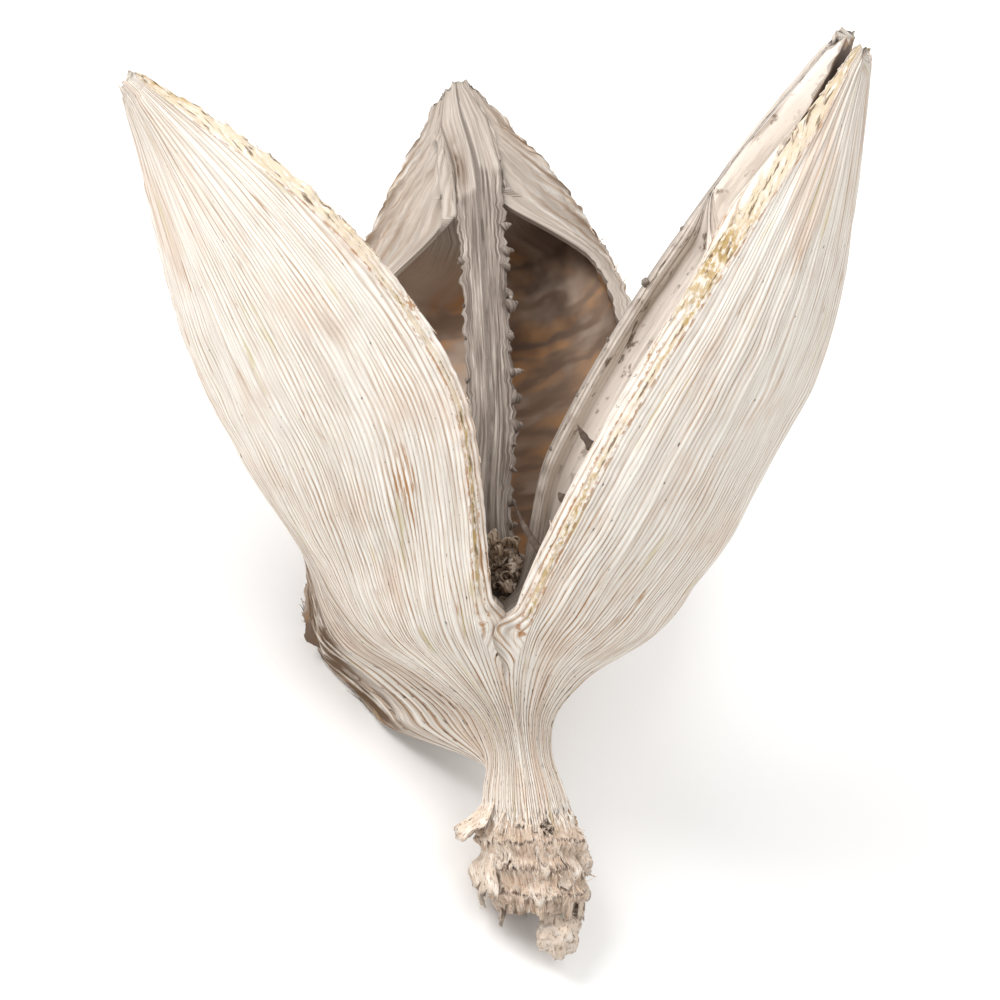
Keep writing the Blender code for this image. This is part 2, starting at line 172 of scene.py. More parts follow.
class Shape:
    """A mesh under way: points, faces, and values painted on the points."""

    PAINTS = ("across", "along", "fibre", "merge", "band", "inside", "face", "rib", "soot", "grime_and_shade", "pale_and_lit")

    def __init__(self) -> None:
        """Starts empty."""
        self.points: list[np.ndarray] = []
        self.faces: list[Sequence[int]] = []
        self.paint: dict[str, list[np.ndarray]] = {name: [] for name in self.PAINTS}
        self.count = 0

    def add(self, points: np.ndarray, faces: Sequence[Sequence[int]], **paint: np.ndarray | float) -> None:
        """Adds a body.

        Args:
            points: its points in the upright pod's frame, in millimetres.
            faces: its faces, as places in points.
            paint: a value for each point, or one for all, for some of PAINTS.
        """
        self.points.append(points)
        self.faces.extend([tuple(k + self.count for k in face) for face in faces])
        for name in self.PAINTS:
            self.paint[name].append(np.broadcast_to(np.asarray(paint.get(name, 0.0), float), len(points)))
        self.count += len(points)

    def loft(self, rings: np.ndarray, **paint: np.ndarray | float) -> None:
        """Adds a closed body from rings of points, with flat ends.

        Args:
            rings: the rings, all with the same number of points.
            paint: a value for each point, or one for all, for some of PAINTS.
        """
        count, around = rings.shape[:2]
        i, j = np.meshgrid(np.arange(count - 1), np.arange(around), indexing="ij")
        k = (j + 1) % around
        quads = np.stack([i * around + j, (i + 1) * around + j, (i + 1) * around + k, i * around + k], -1)
        faces = quads.reshape(-1, 4).tolist()
        faces.append(list(range(around)))
        faces.append([(count - 1) * around + m for m in reversed(range(around))])
        flat = {name: np.asarray(value, float) for name, value in paint.items()}
        flat = {name: value.reshape(-1) if value.ndim else value for name, value in flat.items()}
        self.add(rings.reshape(-1, 3), faces, **flat)

    def strand(self, path: np.ndarray, radii: np.ndarray, sides: int = 5, **paint) -> None:
        """Adds a thin tapered fibre.

        Args:
            path: the points that it runs through.
            radii: its radius at each.
            sides: how many sides it has.
            paint: as for loft().
        """
        rings = []
        ahead = np.gradient(path, axis=0)
        for point, way, radius in zip(path, ahead, radii):
            way = way / max(np.linalg.norm(way), 1e-9)
            helper = np.array((0.3, 0.9, 0.2)) if abs(way[1]) < 0.8 else np.array((1.0, 0.1, 0.2))
            a = np.cross(way, helper)
            a /= np.linalg.norm(a)
            b = np.cross(way, a)
            turns = np.linspace(0, 2 * math.pi, sides, endpoint=False)[:, None]
            rings.append(point + radius * (np.cos(turns) * a + np.sin(turns) * b))
        self.loft(np.array(rings), **paint)

    def piece(self, name: str, material: bpy.types.Material, slot: Slot) -> bpy.types.Object:
        """Turns the shape into a piece of the model.

        Args:
            name: the piece's name.
            material: its finish.
            slot: the record's slot that it stands for; not used.

        Returns:
            The piece, riding on the root body.
        """
        mesh = bpy.data.meshes.new(name)
        mesh.from_pydata(POSE.lay(np.concatenate(self.points)), [], self.faces)
        for paint in self.PAINTS:
            values = np.concatenate(self.paint[paint]).astype(np.float32)
            mesh.attributes.new(paint, "FLOAT", "POINT").data.foreach_set("value", values)
        shaped = bmesh.new()
        shaped.from_mesh(mesh)
        bmesh.ops.recalc_face_normals(shaped, faces=shaped.faces)
        shaped.to_mesh(mesh)
        shaped.free()
        mesh.materials.append(material)
        mesh.shade_smooth()
        item = bpy.data.objects.new(name, mesh)
        bpy.context.scene.collection.objects.link(item)
        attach(item, "root")
        LOG.info("%s: %d points, %d faces", name, len(mesh.vertices), len(mesh.polygons))
        return item


@dataclass
class Pod:
    """The closed pod that the valves are thirds of, with the sizes that they share, in millimetres."""

    stalk_end: float = -35.0
    bend_start: float = -9.0
    bend_end: float = 12.0
    length: float = 90.0
    outline: tuple = (
        (-35.0, 5.2), (-32.6, 6.2), (-31.0, 5.9), (-29.0, 6.5), (-27.6, 6.0), (-25.6, 6.7), (-24.0, 6.1),
        (-19.5, 5.2), (-14.0, 4.1), (-10.0, 5.2), (-5.0, 9.6), (0.0, 14.0), (8.0, 18.4), (20.0, 22.6),
        (31.0, 24.6), (44.0, 24.8), (56.0, 22.6), (66.0, 18.2), (76.0, 12.4), (84.0, 6.8), (90.0, 2.6),
    )
    drift: tuple = ((-35.0, 5.0), (-25.0, 3.4), (-14.0, 2.1), (-5.0, 0.6), (0.0, 0.0), (90.0, 0.0))
    wall: float = 1.7
    lip: float = 0.9
    flange: float = 3.6
    band: float = 2.2
    septum: float = 1.5
    rib: float = 3.6
    overlap: float = 0.6
    half_angle: float = math.radians(60.0)
    ragged: float = 0.14

    def radius(self, height: float | np.ndarray) -> np.ndarray:
        """The closed pod's radius at a height."""
        return curve_through(self.outline, height)

    def beside(self, azimuth: float | np.ndarray, height: float, radius: float | np.ndarray) -> np.ndarray:
        """Points beside the stalk's axis, at azimuths in degrees."""
        turn = np.radians(azimuth)
        x = curve_through(self.drift, height) + radius * np.cos(turn)
        return np.stack(np.broadcast_arrays(x, radius * np.sin(turn), height), -1).astype(float)


POD = Pod()


@dataclass
class Valve:
    """One valve with its third of the stalk: a wedge swept from the stalk's end to the tip."""

    name: str
    azimuth: float
    lean_base: float
    lean_tip: float
    twist: float
    width: float
    arch_tops: tuple[float, float]
    seed: int
    length: float = 91.0
    tip_swell: float = 0.0
    belly: float = 0.0
    flares: tuple[float, float] = (0.0, 0.0)
    column: float = 0.0
    bow: float = 0.0
    groove_side: int = 0
    rind_points: int = 284
    fibre_pitch: float = 0.68
    fibre_height: float = 0.155
    flat_width: float = 24.0
    counts: tuple = (8, 9, 4, 3, 3, 5, 5, 5, 5, 5, 4, 4, 6, 5)
    grains: list = field(default_factory=list)

    # Zones along the closed pod, in millimetres: starts, full from, full to, ends.
    BELLY = (-5.0, 12.0, 22.0, 48.0)
    FLARE = (-17.5, -10.5, -5.0, 25.0)
    SKIRT = (-17.0, -9.0, 16.0, 32.0)
    CREASE = (-14.0, -6.0, 8.0, 22.0)
    MEETING = (-3.0, 2.0, 3.5, 8.5)
    BOW = (14.0, 34.0, 70.0, 88.0)
    BITTEN = (8.0, 16.0, 66.0, 78.0)
    SKIRT_FACE = (-17.0, -11.0, 14.0, 26.0)
    STREAKED = (67.0, 74.0, 74.0, 84.0)
    SEAM = (-7.0, -2.0, 4.0, 9.0)
    THROAT_SHADE = (2.0, 6.0, 9.0, 22.0)

    # Where the edge strip and the half chamber end, counted in corners from the rind's edge.
    STRIP_END = 2.0
    CHAMBER_END = 11.0
    # What the corners of a split face are painted with, from the rind's edge in to the rib's middle.
    CODES = (
        (0.7, 1.0, 0, 0, 0, 0, 0, 0, 0, 0, 0, 0, 0, 0, 0),  # ragged band
        (0, 0, 0, 0.35, 0.9, 1, 1, 1, 1, 0.3, 0.1, 0, 0, 0, 0),  # chamber
        (0, 0.2, 1, 1, 1, 1, 1, 1, 1, 1, 1, 1, 1, 1, 1),  # pale face
        (0, 0, 0, 0, 0, 0, 0, 0, 0, 0.3, 0.7, 1, 1, 1, 1),  # rib
        (0, 0, 0, 0, 0.4, 1, 1, 1, 1, 0.3, 0, 0, 0, 0, 0),  # banded chamber wall
        (0, 0, 0, 0, 0, 0, 0, 0, 0, 0, 0, 0.3, 1, 0.1, 0),  # torn rib edge
        (0, 2.0, 4.6, 5.4, 6.8, 9, 14, 19, 24, 30, 34, 36, 37.5, 39.5, 41.5),  # place across
    )

    def __post_init__(self) -> None:
        """Draws the valve's own grain."""
        self.grains = [Grain(self.seed + k) for k in range(8)]

    def reach(self, height: float, angle: float | np.ndarray) -> np.ndarray:
        """How far the rind stands from the old axis.

        Args:
            height: the height along the closed pod.
            angle: angles across the valve from its middle, in radians.

        Returns:
            The reach at each angle, in millimetres.
        """
        drawn = height * POD.length / self.length if height > 0 else height
        radius = POD.radius(drawn) * (1 + (self.width - 1) * ramp(0, 20, height))
        radius = radius * (1 + self.tip_swell * ramp(50, 76, height))
        radius = radius * (1 + self.belly * window(self.BELLY, height))
        share = np.clip(np.asarray(angle) / POD.half_angle, -1, 1)
        flare = np.where(share > 0, self.flares[1], self.flares[0]) * window(self.FLARE, height)
        tear = POD.ragged * math.sin(1.7 * height + self.azimuth)
        tear = tear + 0.20 * self.grains[0].at(height * 0.8, 3.3 + np.sign(share))
        tear = tear + 0.22 * self.grains[1].at(height * 2.6, 9.7 + np.sign(share))
        return radius + flare * np.abs(share) ** 3.5 + tear * ramp(-2, 6, height) * np.abs(share) ** 8

    def fibres(self, across: np.ndarray, height: float, middle: float) -> tuple[np.ndarray, float, np.ndarray]:
        """The raised fibres, which run together in pairs where the valve is narrow.

        Args:
            across: places across the rind, in millimetres.
            height: the height along the closed pod.
            middle: the valve's reach there.

        Returns:
            The fibre that each place is on, how far the pairs have merged, and the relief.
        """
        g = self.grains
        phase = across / self.fibre_pitch + 1.5 * g[2].at(across * 0.20, height * 0.035)
        phase = phase + 0.45 * g[1].at(across * 0.75, height * 0.018)
        phase = phase + 0.20 * g[7].at(across * 0.8, height * 0.2) + 60
        merge = 1 - float(ramp(8, 17, middle))
        profile = np.zeros_like(across)
        for scale, weight, grain in ((1.0, 1 - merge, g[3]), (0.5, merge, g[4])):
            fibre = phase * scale
            size = 0.75 + 0.6 * grain.at(np.floor(fibre) * 1.37 + 0.5, height * 0.06)
            size = size * (0.75 + 0.5 * g[0].at(across * 0.15, height * 0.06))
            profile += weight * size * (1 - np.abs(2 * (fibre % 1.0) - 1) ** 1.5)
        relief = self.fibre_height * (0.8 + 0.4 * merge) * min(1.0, middle / 5) * (profile - 0.6)
        return phase, merge, relief

    def rind(self, height: float) -> dict[str, np.ndarray]:
        """The rind's arc at a height: its points and its paints."""
        middle = float(self.reach(height, 0.0))
        half = POD.half_angle - min(POD.band / middle, 0.25) * float(ramp(-5, 5, height) * 0.9 + 0.1)
        angle = np.linspace(-half, half, self.rind_points)
        share = angle / half
        across = angle * self.flat_width
        g = self.grains
        phase, merge, relief = self.fibres(across, height, middle)
        broad = float(ramp(6, 16, middle))
        relief += 0.75 * np.minimum(0, g[6].at(across * 0.11 + 7, height * 0.055)) * broad
        relief += 0.16 * g[5].at(across * 0.30, height * 0.22) * broad
        relief += 0.16 * np.cos(11 * math.pi * (share + 1)) * min(1.0, middle / 8)
        bark = 0.42 * g[5].at(across * 0.5, height * 0.9) + 0.34 * g[4].at(across * 1.3, height * 2.1)
        relief += bark * float(ramp(19, 23.5, -height))
        skirt = np.zeros_like(share)
        if self.flares[1]:
            # Painted shade: the skirt, the far base flaring out behind, is painted darker, darkest at its real
            # dark-brown frayed rim.
            skirt = ramp(0.42, 0.62, share) * window(self.SKIRT, height)
            relief -= 0.9 * np.exp(-((share - 0.46) / 0.10) ** 2) * window(self.CREASE, height)
        reach = self.reach(height, angle) + relief
        return {
            "points": np.stack([reach * np.sin(angle), reach * np.cos(angle)], 1),
            "across": across + 30,
            "fibre": phase,
            "merge": np.full_like(angle, merge),
            "band": 0.2 * ramp(0.95, 1.0, np.abs(share)) * float(ramp(-2, 10, height)),
            "grime_and_shade": skirt * (0.36 + 0.64 * ramp(0.80, 0.98, share)),
        }

    def overlap(self, height: float) -> float:
        """How far the split faces run past the next valve's, below and at the notch."""
        stalk = POD.overlap * float(1 - ramp(-3, 3, height))
        return stalk + 2.0 * window(self.MEETING, height)

    def shift(self, height: float) -> np.ndarray:
        """How far the rib stands from the old axis at a height, as (across, out)."""
        bow = self.bow * window(self.BOW, height)
        return np.array((bow, -self.column * float(ramp(8, 26, height))))

    def corners(self, height: float, side: int) -> tuple[np.ndarray, float]:
        """The split face of one half: its corners from the rind's edge in to the rib.

        Args:
            height: the height along the closed pod.
            side: 1 or -1.

        Returns:
            The corners as (across, out), and how far the half chamber is open there, 0 to 1.
        """
        c, s = math.cos(POD.half_angle), math.sin(POD.half_angle)
        along, inward = np.array((s, c)), np.array((-c, s))
        radius = float(self.reach(height, side * POD.half_angle))
        middle = float(self.reach(height, 0.0))
        which = 0 if side < 0 else 1
        opening = (-6.0, 4.0) if self.flares[which] else (6.0, 16.0)
        top = self.arch_tops[which]
        rib = min(POD.rib, 0.42 * middle)
        column = self.shift(height) * (side, 1)
        closing = 9.0 if side == self.groove_side else 2.0
        open_share = float(ramp(*opening, height) * (1 - ramp(top - closing, top, height)))
        arch = float(ramp(top - 14, top, height))
        room = radius - rib
        flange = min(POD.flange + (room - POD.flange) * arch**2.5, room - 0.6)
        flange = max(flange, 0.35 * room) if room < 3 * POD.flange else flange
        overlap = -self.overlap(height)
        edge = min(1.0, 0.2 * radius) * float(0.1 + 0.9 * ramp(-5, 3, height))
        points = [(radius - edge) * along + overlap * inward, (radius - flange) * along + overlap * inward]
        deep = [
            (radius - flange + 0.3) * along + POD.lip * inward,
            (radius - POD.wall - 0.9) * along + (POD.lip + 1.4) * inward,
        ]
        back = middle - POD.wall
        start = POD.half_angle - 3.4 / max(radius, 5.0)
        end = math.asin(min(0.9, POD.septum / 2 / max(back, 2.0)))
        for angle in np.linspace(start, end, 4):
            inner = float(self.reach(height, side * angle)) - POD.wall
            deep.append(inner * np.array((math.sin(angle), math.cos(angle))))
        rib_back = rib * c + 1.6
        deep.append(np.array((POD.septum / 2, rib_back + 0.45 * (back - rib_back))) + 0.4 * column)
        deep.append(np.array((POD.septum / 2, rib_back)) + column)
        deep.append(rib * along + 1.1 * inward + column)
        for wall, shut_radius in zip(deep, np.linspace(radius - flange, rib, len(deep) + 2)[1:-1]):
            shut = shut_radius * along + (overlap + 0.05 * open_share) * inward
            shut = shut + column * (1 - (shut_radius - rib) / max(room, 0.1))
            points.append(shut + (wall - shut) * open_share)
        points.append(rib * along + overlap * inward + column)
        points.append(0.5 * rib * along + overlap * inward + column)
        points = np.array(points)
        points[:, 0] *= side
        return points, open_share

    def relief(self, height: float, side: int, at: np.ndarray, across: np.ndarray, codes: tuple) -> np.ndarray:
        """How far a split face's points stand out from its plain form.

        Args:
            height: the height along the closed pod.
            side: 1 or -1.
            at: the points' places, counted in corners.
            across: their places across, in millimetres.
            codes: their ragged band, chamber and ladder, and the fibre that each is on.

        Returns:
            The heights of the crumbly band, the chamber's waves, the streaks and the roof's flutes.
        """
        band, inside, ladder, carried = codes
        g, h = self.grains[2 + side], self.grains[4 + side]
        worn = float(ramp(40, 66, height))
        crumb = 0.26 * g.at(across * 1.5, height * 0.9) + 0.22 * h.at(across * 3.1, height * 2.7)
        wave = 0.24 * np.sin(2 * math.pi * height / 4.4 + 2.2 * h.at(across * 0.08, height * 0.07))
        wave = wave * (0.6 + 0.6 * g.at(across * 0.15, height * 0.12))
        streak = 0.14 * g.at(across * 1.3, height * 0.04) + 0.06 * h.at(across * 3.0, height * 0.25)
        top = max(self.arch_tops)
        roof = float(ramp(top - 6, top + 3, height))
        roof *= min(1.0, float(self.reach(height, side * POD.half_angle)) / 14)
        flute = 0.34 * np.sin(2 * math.pi * across / 2.5 + 0.8 * h.at(2.0, height * 0.08))
        groove = 0.9 * self.fibre_height * (0.4 - np.abs(2 * (carried % 1.0) - 1) ** 1.5)
        strip = at <= self.STRIP_END
        shift = band * crumb * (0.35 + 0.65 * worn) * float(ramp(-3, 6, height)) + ladder * wave
        shift += strip * groove * (1 - worn) + flute * roof * (1 - band)
        shift += (1 - inside) * (1 - band) * (~strip) * streak * float(ramp(-14, 2, height))
        return shift * np.minimum(1, at / 0.7)

    def half(self, height: float, side: int, rind: dict, apex: np.ndarray) -> dict[str, np.ndarray]:
        """One split face in fine points.

        Args:
            height: the height along the closed pod.
            side: 1 or -1.
            rind: the rind's arc at that height.
            apex: the rib's middle.

        Returns:
            The points between the two, roughened, with their paints.
        """
        corners, open_share = self.corners(height, side)
        end, which = (-1, 1) if side > 0 else (0, 0)
        chain = np.concatenate([rind["points"][end][None], corners, apex[None]])
        at = np.concatenate([k + (np.arange(count) + 1.0) / count for k, count in enumerate(self.counts)])[:-1]
        at = np.insert(at, np.searchsorted(at, self.STRIP_END) + 1, self.STRIP_END + 0.01)
        strip = at <= self.STRIP_END
        read = np.arange(len(chain))
        points = np.stack([np.interp(at, read, chain[:, k]) for k in (0, 1)], 1)
        band, inside, face, rib, ladder, torn, place = (np.interp(at, read, codes) for codes in self.CODES)
        radius = float(self.reach(height, side * POD.half_angle))
        share = np.linalg.norm(points, axis=1) / radius
        loose = (1 - open_share) * (at < self.CHAMBER_END) * (side != self.groove_side)
        across = place * (1 - loose) + (2 + (1 - share) * 16) * loose
        carried = rind["fibre"][end] + side * place / self.fibre_pitch
        line = 0.8 * np.exp(-((at - 0.2) / 0.32) ** 2) * float(ramp(0, 12, height))
        band = np.maximum(line, band * float(ramp(40, 66, height)))
        inside = inside * open_share
        ahead = np.gradient(points, axis=0)
        ahead /= np.maximum(np.linalg.norm(ahead, axis=1), 1e-6)[:, None]
        normal = np.stack([ahead[:, 1], -ahead[:, 0]], 1) * -side
        codes = (band, inside, ladder * open_share, carried)
        points = points + normal * self.relief(height, side, at, across, codes)[:, None]
        c, s = math.cos(POD.half_angle), math.sin(POD.half_angle)
        g, h = self.grains[2 + side], self.grains[4 + side]
        bite = 0.55 * max(0.0, float(g.at(9.0, height * 0.75))) + 0.30 * float(h.at(5.0, height * 2.2))
        points = points + (torn * bite * window(self.BITTEN, height))[:, None] * np.array((side * s, c))
        rib = rib * float(1 - ramp(self.arch_tops[which] - 1, self.arch_tops[which] + 7, height))
        soot, grime_and_shade, pale_and_lit = np.zeros((3, len(points)))
        if self.flares[which]:
            # Painted shade on the skirt's split face, darker still near the rind's edge where the real dark rim
            # is.
            grime_and_shade += np.where(at < 4, 0.8, 0.4) * window(self.SKIRT_FACE, height)
        if self.bow:
            grime_and_shade += 0.85 * band
            # Painted shade: the back valve's split face is laid in the rib's darker tone.
            rib = np.maximum(rib, 0.47 * (at > 1.0))
            band = np.zeros_like(band)
            if side < 0:
                grime_and_shade += np.exp(-((at - 12.6) / 0.5) ** 2) * window(self.STREAKED, height)
        else:
            face = face * np.where(strip, 0.5 * float(ramp(-3, 9, height)), 1.0)
            # The edge strip is painted darker near the notch, where the valves meet.
            grime_and_shade += 0.62 * strip * ramp(0.2, 0.9, at) * window(self.SEAM, height)
        if side == self.groove_side:
            depth = min(2.2, 0.2 * radius) * float(ramp(60, 72, height))
            groove = np.exp(-((share - 0.70) / 0.085) ** 2) * depth
            points = points + groove[:, None] * np.array((-c * side, s))
            soot = 0.9 * np.exp(-((share - 0.70) / 0.06) ** 2) * float(ramp(60, 70, height))
            # Painted light: this recess is painted paler, with less chamber and rib colour, so it reads as lit;
            # the face itself is pale.
            lower = float(1 - ramp(14, 40, height))
            deep = ramp(11.5, 12.5, at)
            pale_and_lit = ramp(1.6, 3.0, at) * (1 - 0.75 * deep) * (1 - 0.8 * lower) * float(ramp(6, 14, height))
            inside = 0.2 * inside
            rib = np.maximum(rib * (0.2 + 0.8 * deep), 0.6 * lower * (at > 2.5))
        return {
            "points": points,
            "across": np.where(strip, rind["across"][end] + side * place, across + 30.0 * (2 + side)),
            "fibre": np.where(strip, carried, across / self.fibre_pitch),
            "merge": np.full(len(points), rind["merge"][end]),
            "band": band, "inside": inside, "face": face, "rib": rib,
            "soot": soot, "grime_and_shade": grime_and_shade, "pale_and_lit": pale_and_lit,
        }

    def lean(self, height: float | np.ndarray) -> np.ndarray:
        """How far the valve leans out at a height, in radians."""
        base = self.lean_base * ramp(POD.bend_start, POD.bend_end, height)
        rest = np.clip((np.asarray(height) - POD.bend_end) / (self.length - POD.bend_end), 0, 1)
        return np.radians(base + (self.lean_tip - self.lean_base) * rest)

    def spine(self, height: float) -> tuple[float, float]:
        """How far out and how high the old axis lies on the leaned valve."""
        if height <= POD.bend_start:
            return 0.0, height
        steps = np.linspace(POD.bend_start, height, 200)
        lean = self.lean(steps)
        width = steps[1] - steps[0]
        middle = (lean[1:] + lean[:-1]) / 2
        return float(np.sin(middle).sum() * width), POD.bend_start + float(np.cos(middle).sum() * width)

    def placed(self, outline: np.ndarray, height: float) -> np.ndarray:
        """Puts a section in the upright pod's frame.

        Args:
            outline: the section's points, as (across, out).
            height: its height along the closed pod.

        Returns:
            The points, leaned, twisted and turned with the valve.
        """
        turn = math.radians(self.azimuth)
        out = np.array((math.cos(turn), math.sin(turn), 0.0))
        across = np.array((math.sin(turn), -math.cos(turn), 0.0))
        up = np.array((0.0, 0.0, 1.0))
        twist = math.radians(self.twist) * float(ramp(-6, 40, height))
        t, n = outline[:, :1], outline[:, 1:]
        t, n = t * math.cos(twist) - n * math.sin(twist), t * math.sin(twist) + n * math.cos(twist)
        lean = float(self.lean(height))
        lean_out = out * math.cos(lean) - up * math.sin(lean)
        spine_out, spine_up = self.spine(height)
        drift = np.array((float(curve_through(POD.drift, height)), 0.0, 0.0))
        return t * across + n * lean_out + spine_out * out + spine_up * up + drift

    def heights(self) -> np.ndarray:
        """The heights of the rings, closest where the form turns fastest."""
        top = max(self.arch_tops)
        return np.concatenate([
            np.linspace(POD.stalk_end, -20, 38, endpoint=False),
            np.linspace(-20, 14, 62, endpoint=False),
            np.linspace(14, top - 14, 56, endpoint=False),
            np.linspace(top - 14, top + 1, 34, endpoint=False),
            np.linspace(top + 1, self.length, 32),
        ])

    def torn_ends(self, points: np.ndarray, height: float) -> np.ndarray:
        """Breaks off the stalk's end and the tip.

        Args:
            points: a ring's points.
            height: its height along the closed pod.

        Returns:
            The points, moved along the valve near either end.
        """
        x, y = points[:, 0], points[:, 1]
        rough = np.abs(self.grains[7].at(x * 0.7, y * 0.7)) + 0.4 * self.grains[6].at(x * 2, y * 2)
        lean = float(self.lean(height))
        turn = math.radians(self.azimuth)
        way = np.array((math.sin(lean) * math.cos(turn), math.sin(lean) * math.sin(turn), math.cos(lean)))
        stalk, tip = float(ramp(32.0, 35.0, -height)), float(ramp(self.length - 3.5, self.length, height))
        return points + (rough * (2.6 * stalk - 1.8 * tip))[:, None] * way

    def shape(self) -> Shape:
        """The valve's mesh with its paints."""
        rings = []
        paint: dict[str, list[np.ndarray]] = {name: [] for name in Shape.PAINTS}
        for height in self.heights():
            rind = self.rind(height)
            apex = np.array((0.0, 0.4 - 1.6 * self.overlap(height))) + self.shift(height)
            right = self.half(height, 1, rind, apex)
            left = self.half(height, -1, rind, apex)
            middle = {"points": apex[None], "across": [right["across"][-1]], "face": [1.0], "rib": [1.0]}
            parts = (rind, right, middle, {name: values[::-1] for name, values in left.items()})
            outline = np.concatenate([part["points"] for part in parts])
            rings.append(self.torn_ends(self.placed(outline, height), height))
            for name in Shape.PAINTS:
                values = [part.get(name, np.zeros(len(part["points"]))) for part in parts]
                paint[name].append(np.concatenate(values))
            paint["along"][-1] = np.full(len(outline), height)
            # Painted shade: near the old axis in the throat, where the valves part, the split faces are painted
            # dark.
            inner = 1 - ramp(2.0, 9.0, np.linalg.norm(outline, axis=1))
            deep = 0.55 * window(self.THROAT_SHADE, height) * inner * paint["face"][-1]
            paint["soot"][-1] = np.maximum(paint["soot"][-1], deep)
        shape = Shape()
        shape.loft(np.array(rings), **{name: np.array(values) for name, values in paint.items()})
        return shape

    def slit(self) -> Shape:
        """The slit that parts the rind from the rib at the tip, as a ragged slab to cut with."""
        start, reach = 75.0, 14.0
        rings = []
        for height in np.linspace(start, self.length + 3, 26):
            share = (height - start) / (self.length - start)
            middle = 0.45 * float(self.reach(min(height, self.length), 0.0)) - 0.4 * self.column
            half = max(0.05, 0.85 * share)
            t = np.linspace(-reach, reach, 40)
            low = middle - half + 0.35 * share * self.grains[5].at(t * 0.9, height * 0.8)
            high = middle + half + 0.35 * share * self.grains[6].at(t * 0.9, height * 0.8)
            outline = np.concatenate([np.stack([t, low], 1), np.stack([t[::-1], high[::-1]], 1)])
            rings.append(self.placed(outline, height))
        shape = Shape()
        shape.loft(np.array(rings), soot=0.4, face=1.0, rib=1.0)
        return shape


VALVES = (
    Valve(
        "left", azimuth=208.0, lean_base=20.0, lean_tip=59.0, twist=27.0, width=0.87, arch_tops=(68.0, 66.0),
        seed=100, tip_swell=0.05, flares=(0.0, 17.0),
    ),
    Valve(
        "right", azimuth=331.0, lean_base=26.0, lean_tip=45.0, twist=1.0, width=0.93, arch_tops=(70.0, 66.0),
        seed=200, belly=0.06, column=3.0, groove_side=1,
    ),
    Valve(
        "back", azimuth=98.0, lean_base=24.0, lean_tip=43.0, twist=-14.0, width=1.06, arch_tops=(66.0, 70.0),
        seed=300, length=90.0, tip_swell=0.05, bow=1.8,
    ),
)


def linear(hex_color: str) -> tuple[float, float, float, float]:
    """An sRGB hex colour as a linear one."""
    channels = [int(hex_color[k:k + 2], 16) / 255 for k in (1, 3, 5)]
    return (*(c / 12.92 if c <= 0.04045 else ((c + 0.055) / 1.055) ** 2.4 for c in channels), 1.0)


def add_node(tree: bpy.types.NodeTree, kind: str, inputs: dict | None = None, **settings) -> bpy.types.Node:
    """Adds a node.

    Args:
        tree: the material's node tree.
        kind: the node's type name.
        inputs: a value or another node's output for each input, by name or number.
        settings: the node's own properties.

    Returns:
        The new node.
    """
    made = tree.nodes.new(kind)
    for name, value in settings.items():
        setattr(made, name, value)
    for name, value in (inputs or {}).items():
        if isinstance(value, Socket):
            tree.links.new(value, made.inputs[name])
        else:
            made.inputs[name].default_value = value
    return made


class Weave(NamedTuple):
    """A noise pattern: how fast it runs across and along the fibres, its place, detail and roughness."""

    across: float
    along: float
    place: float
    detail: float = 3.0
    rough: float = 0.6


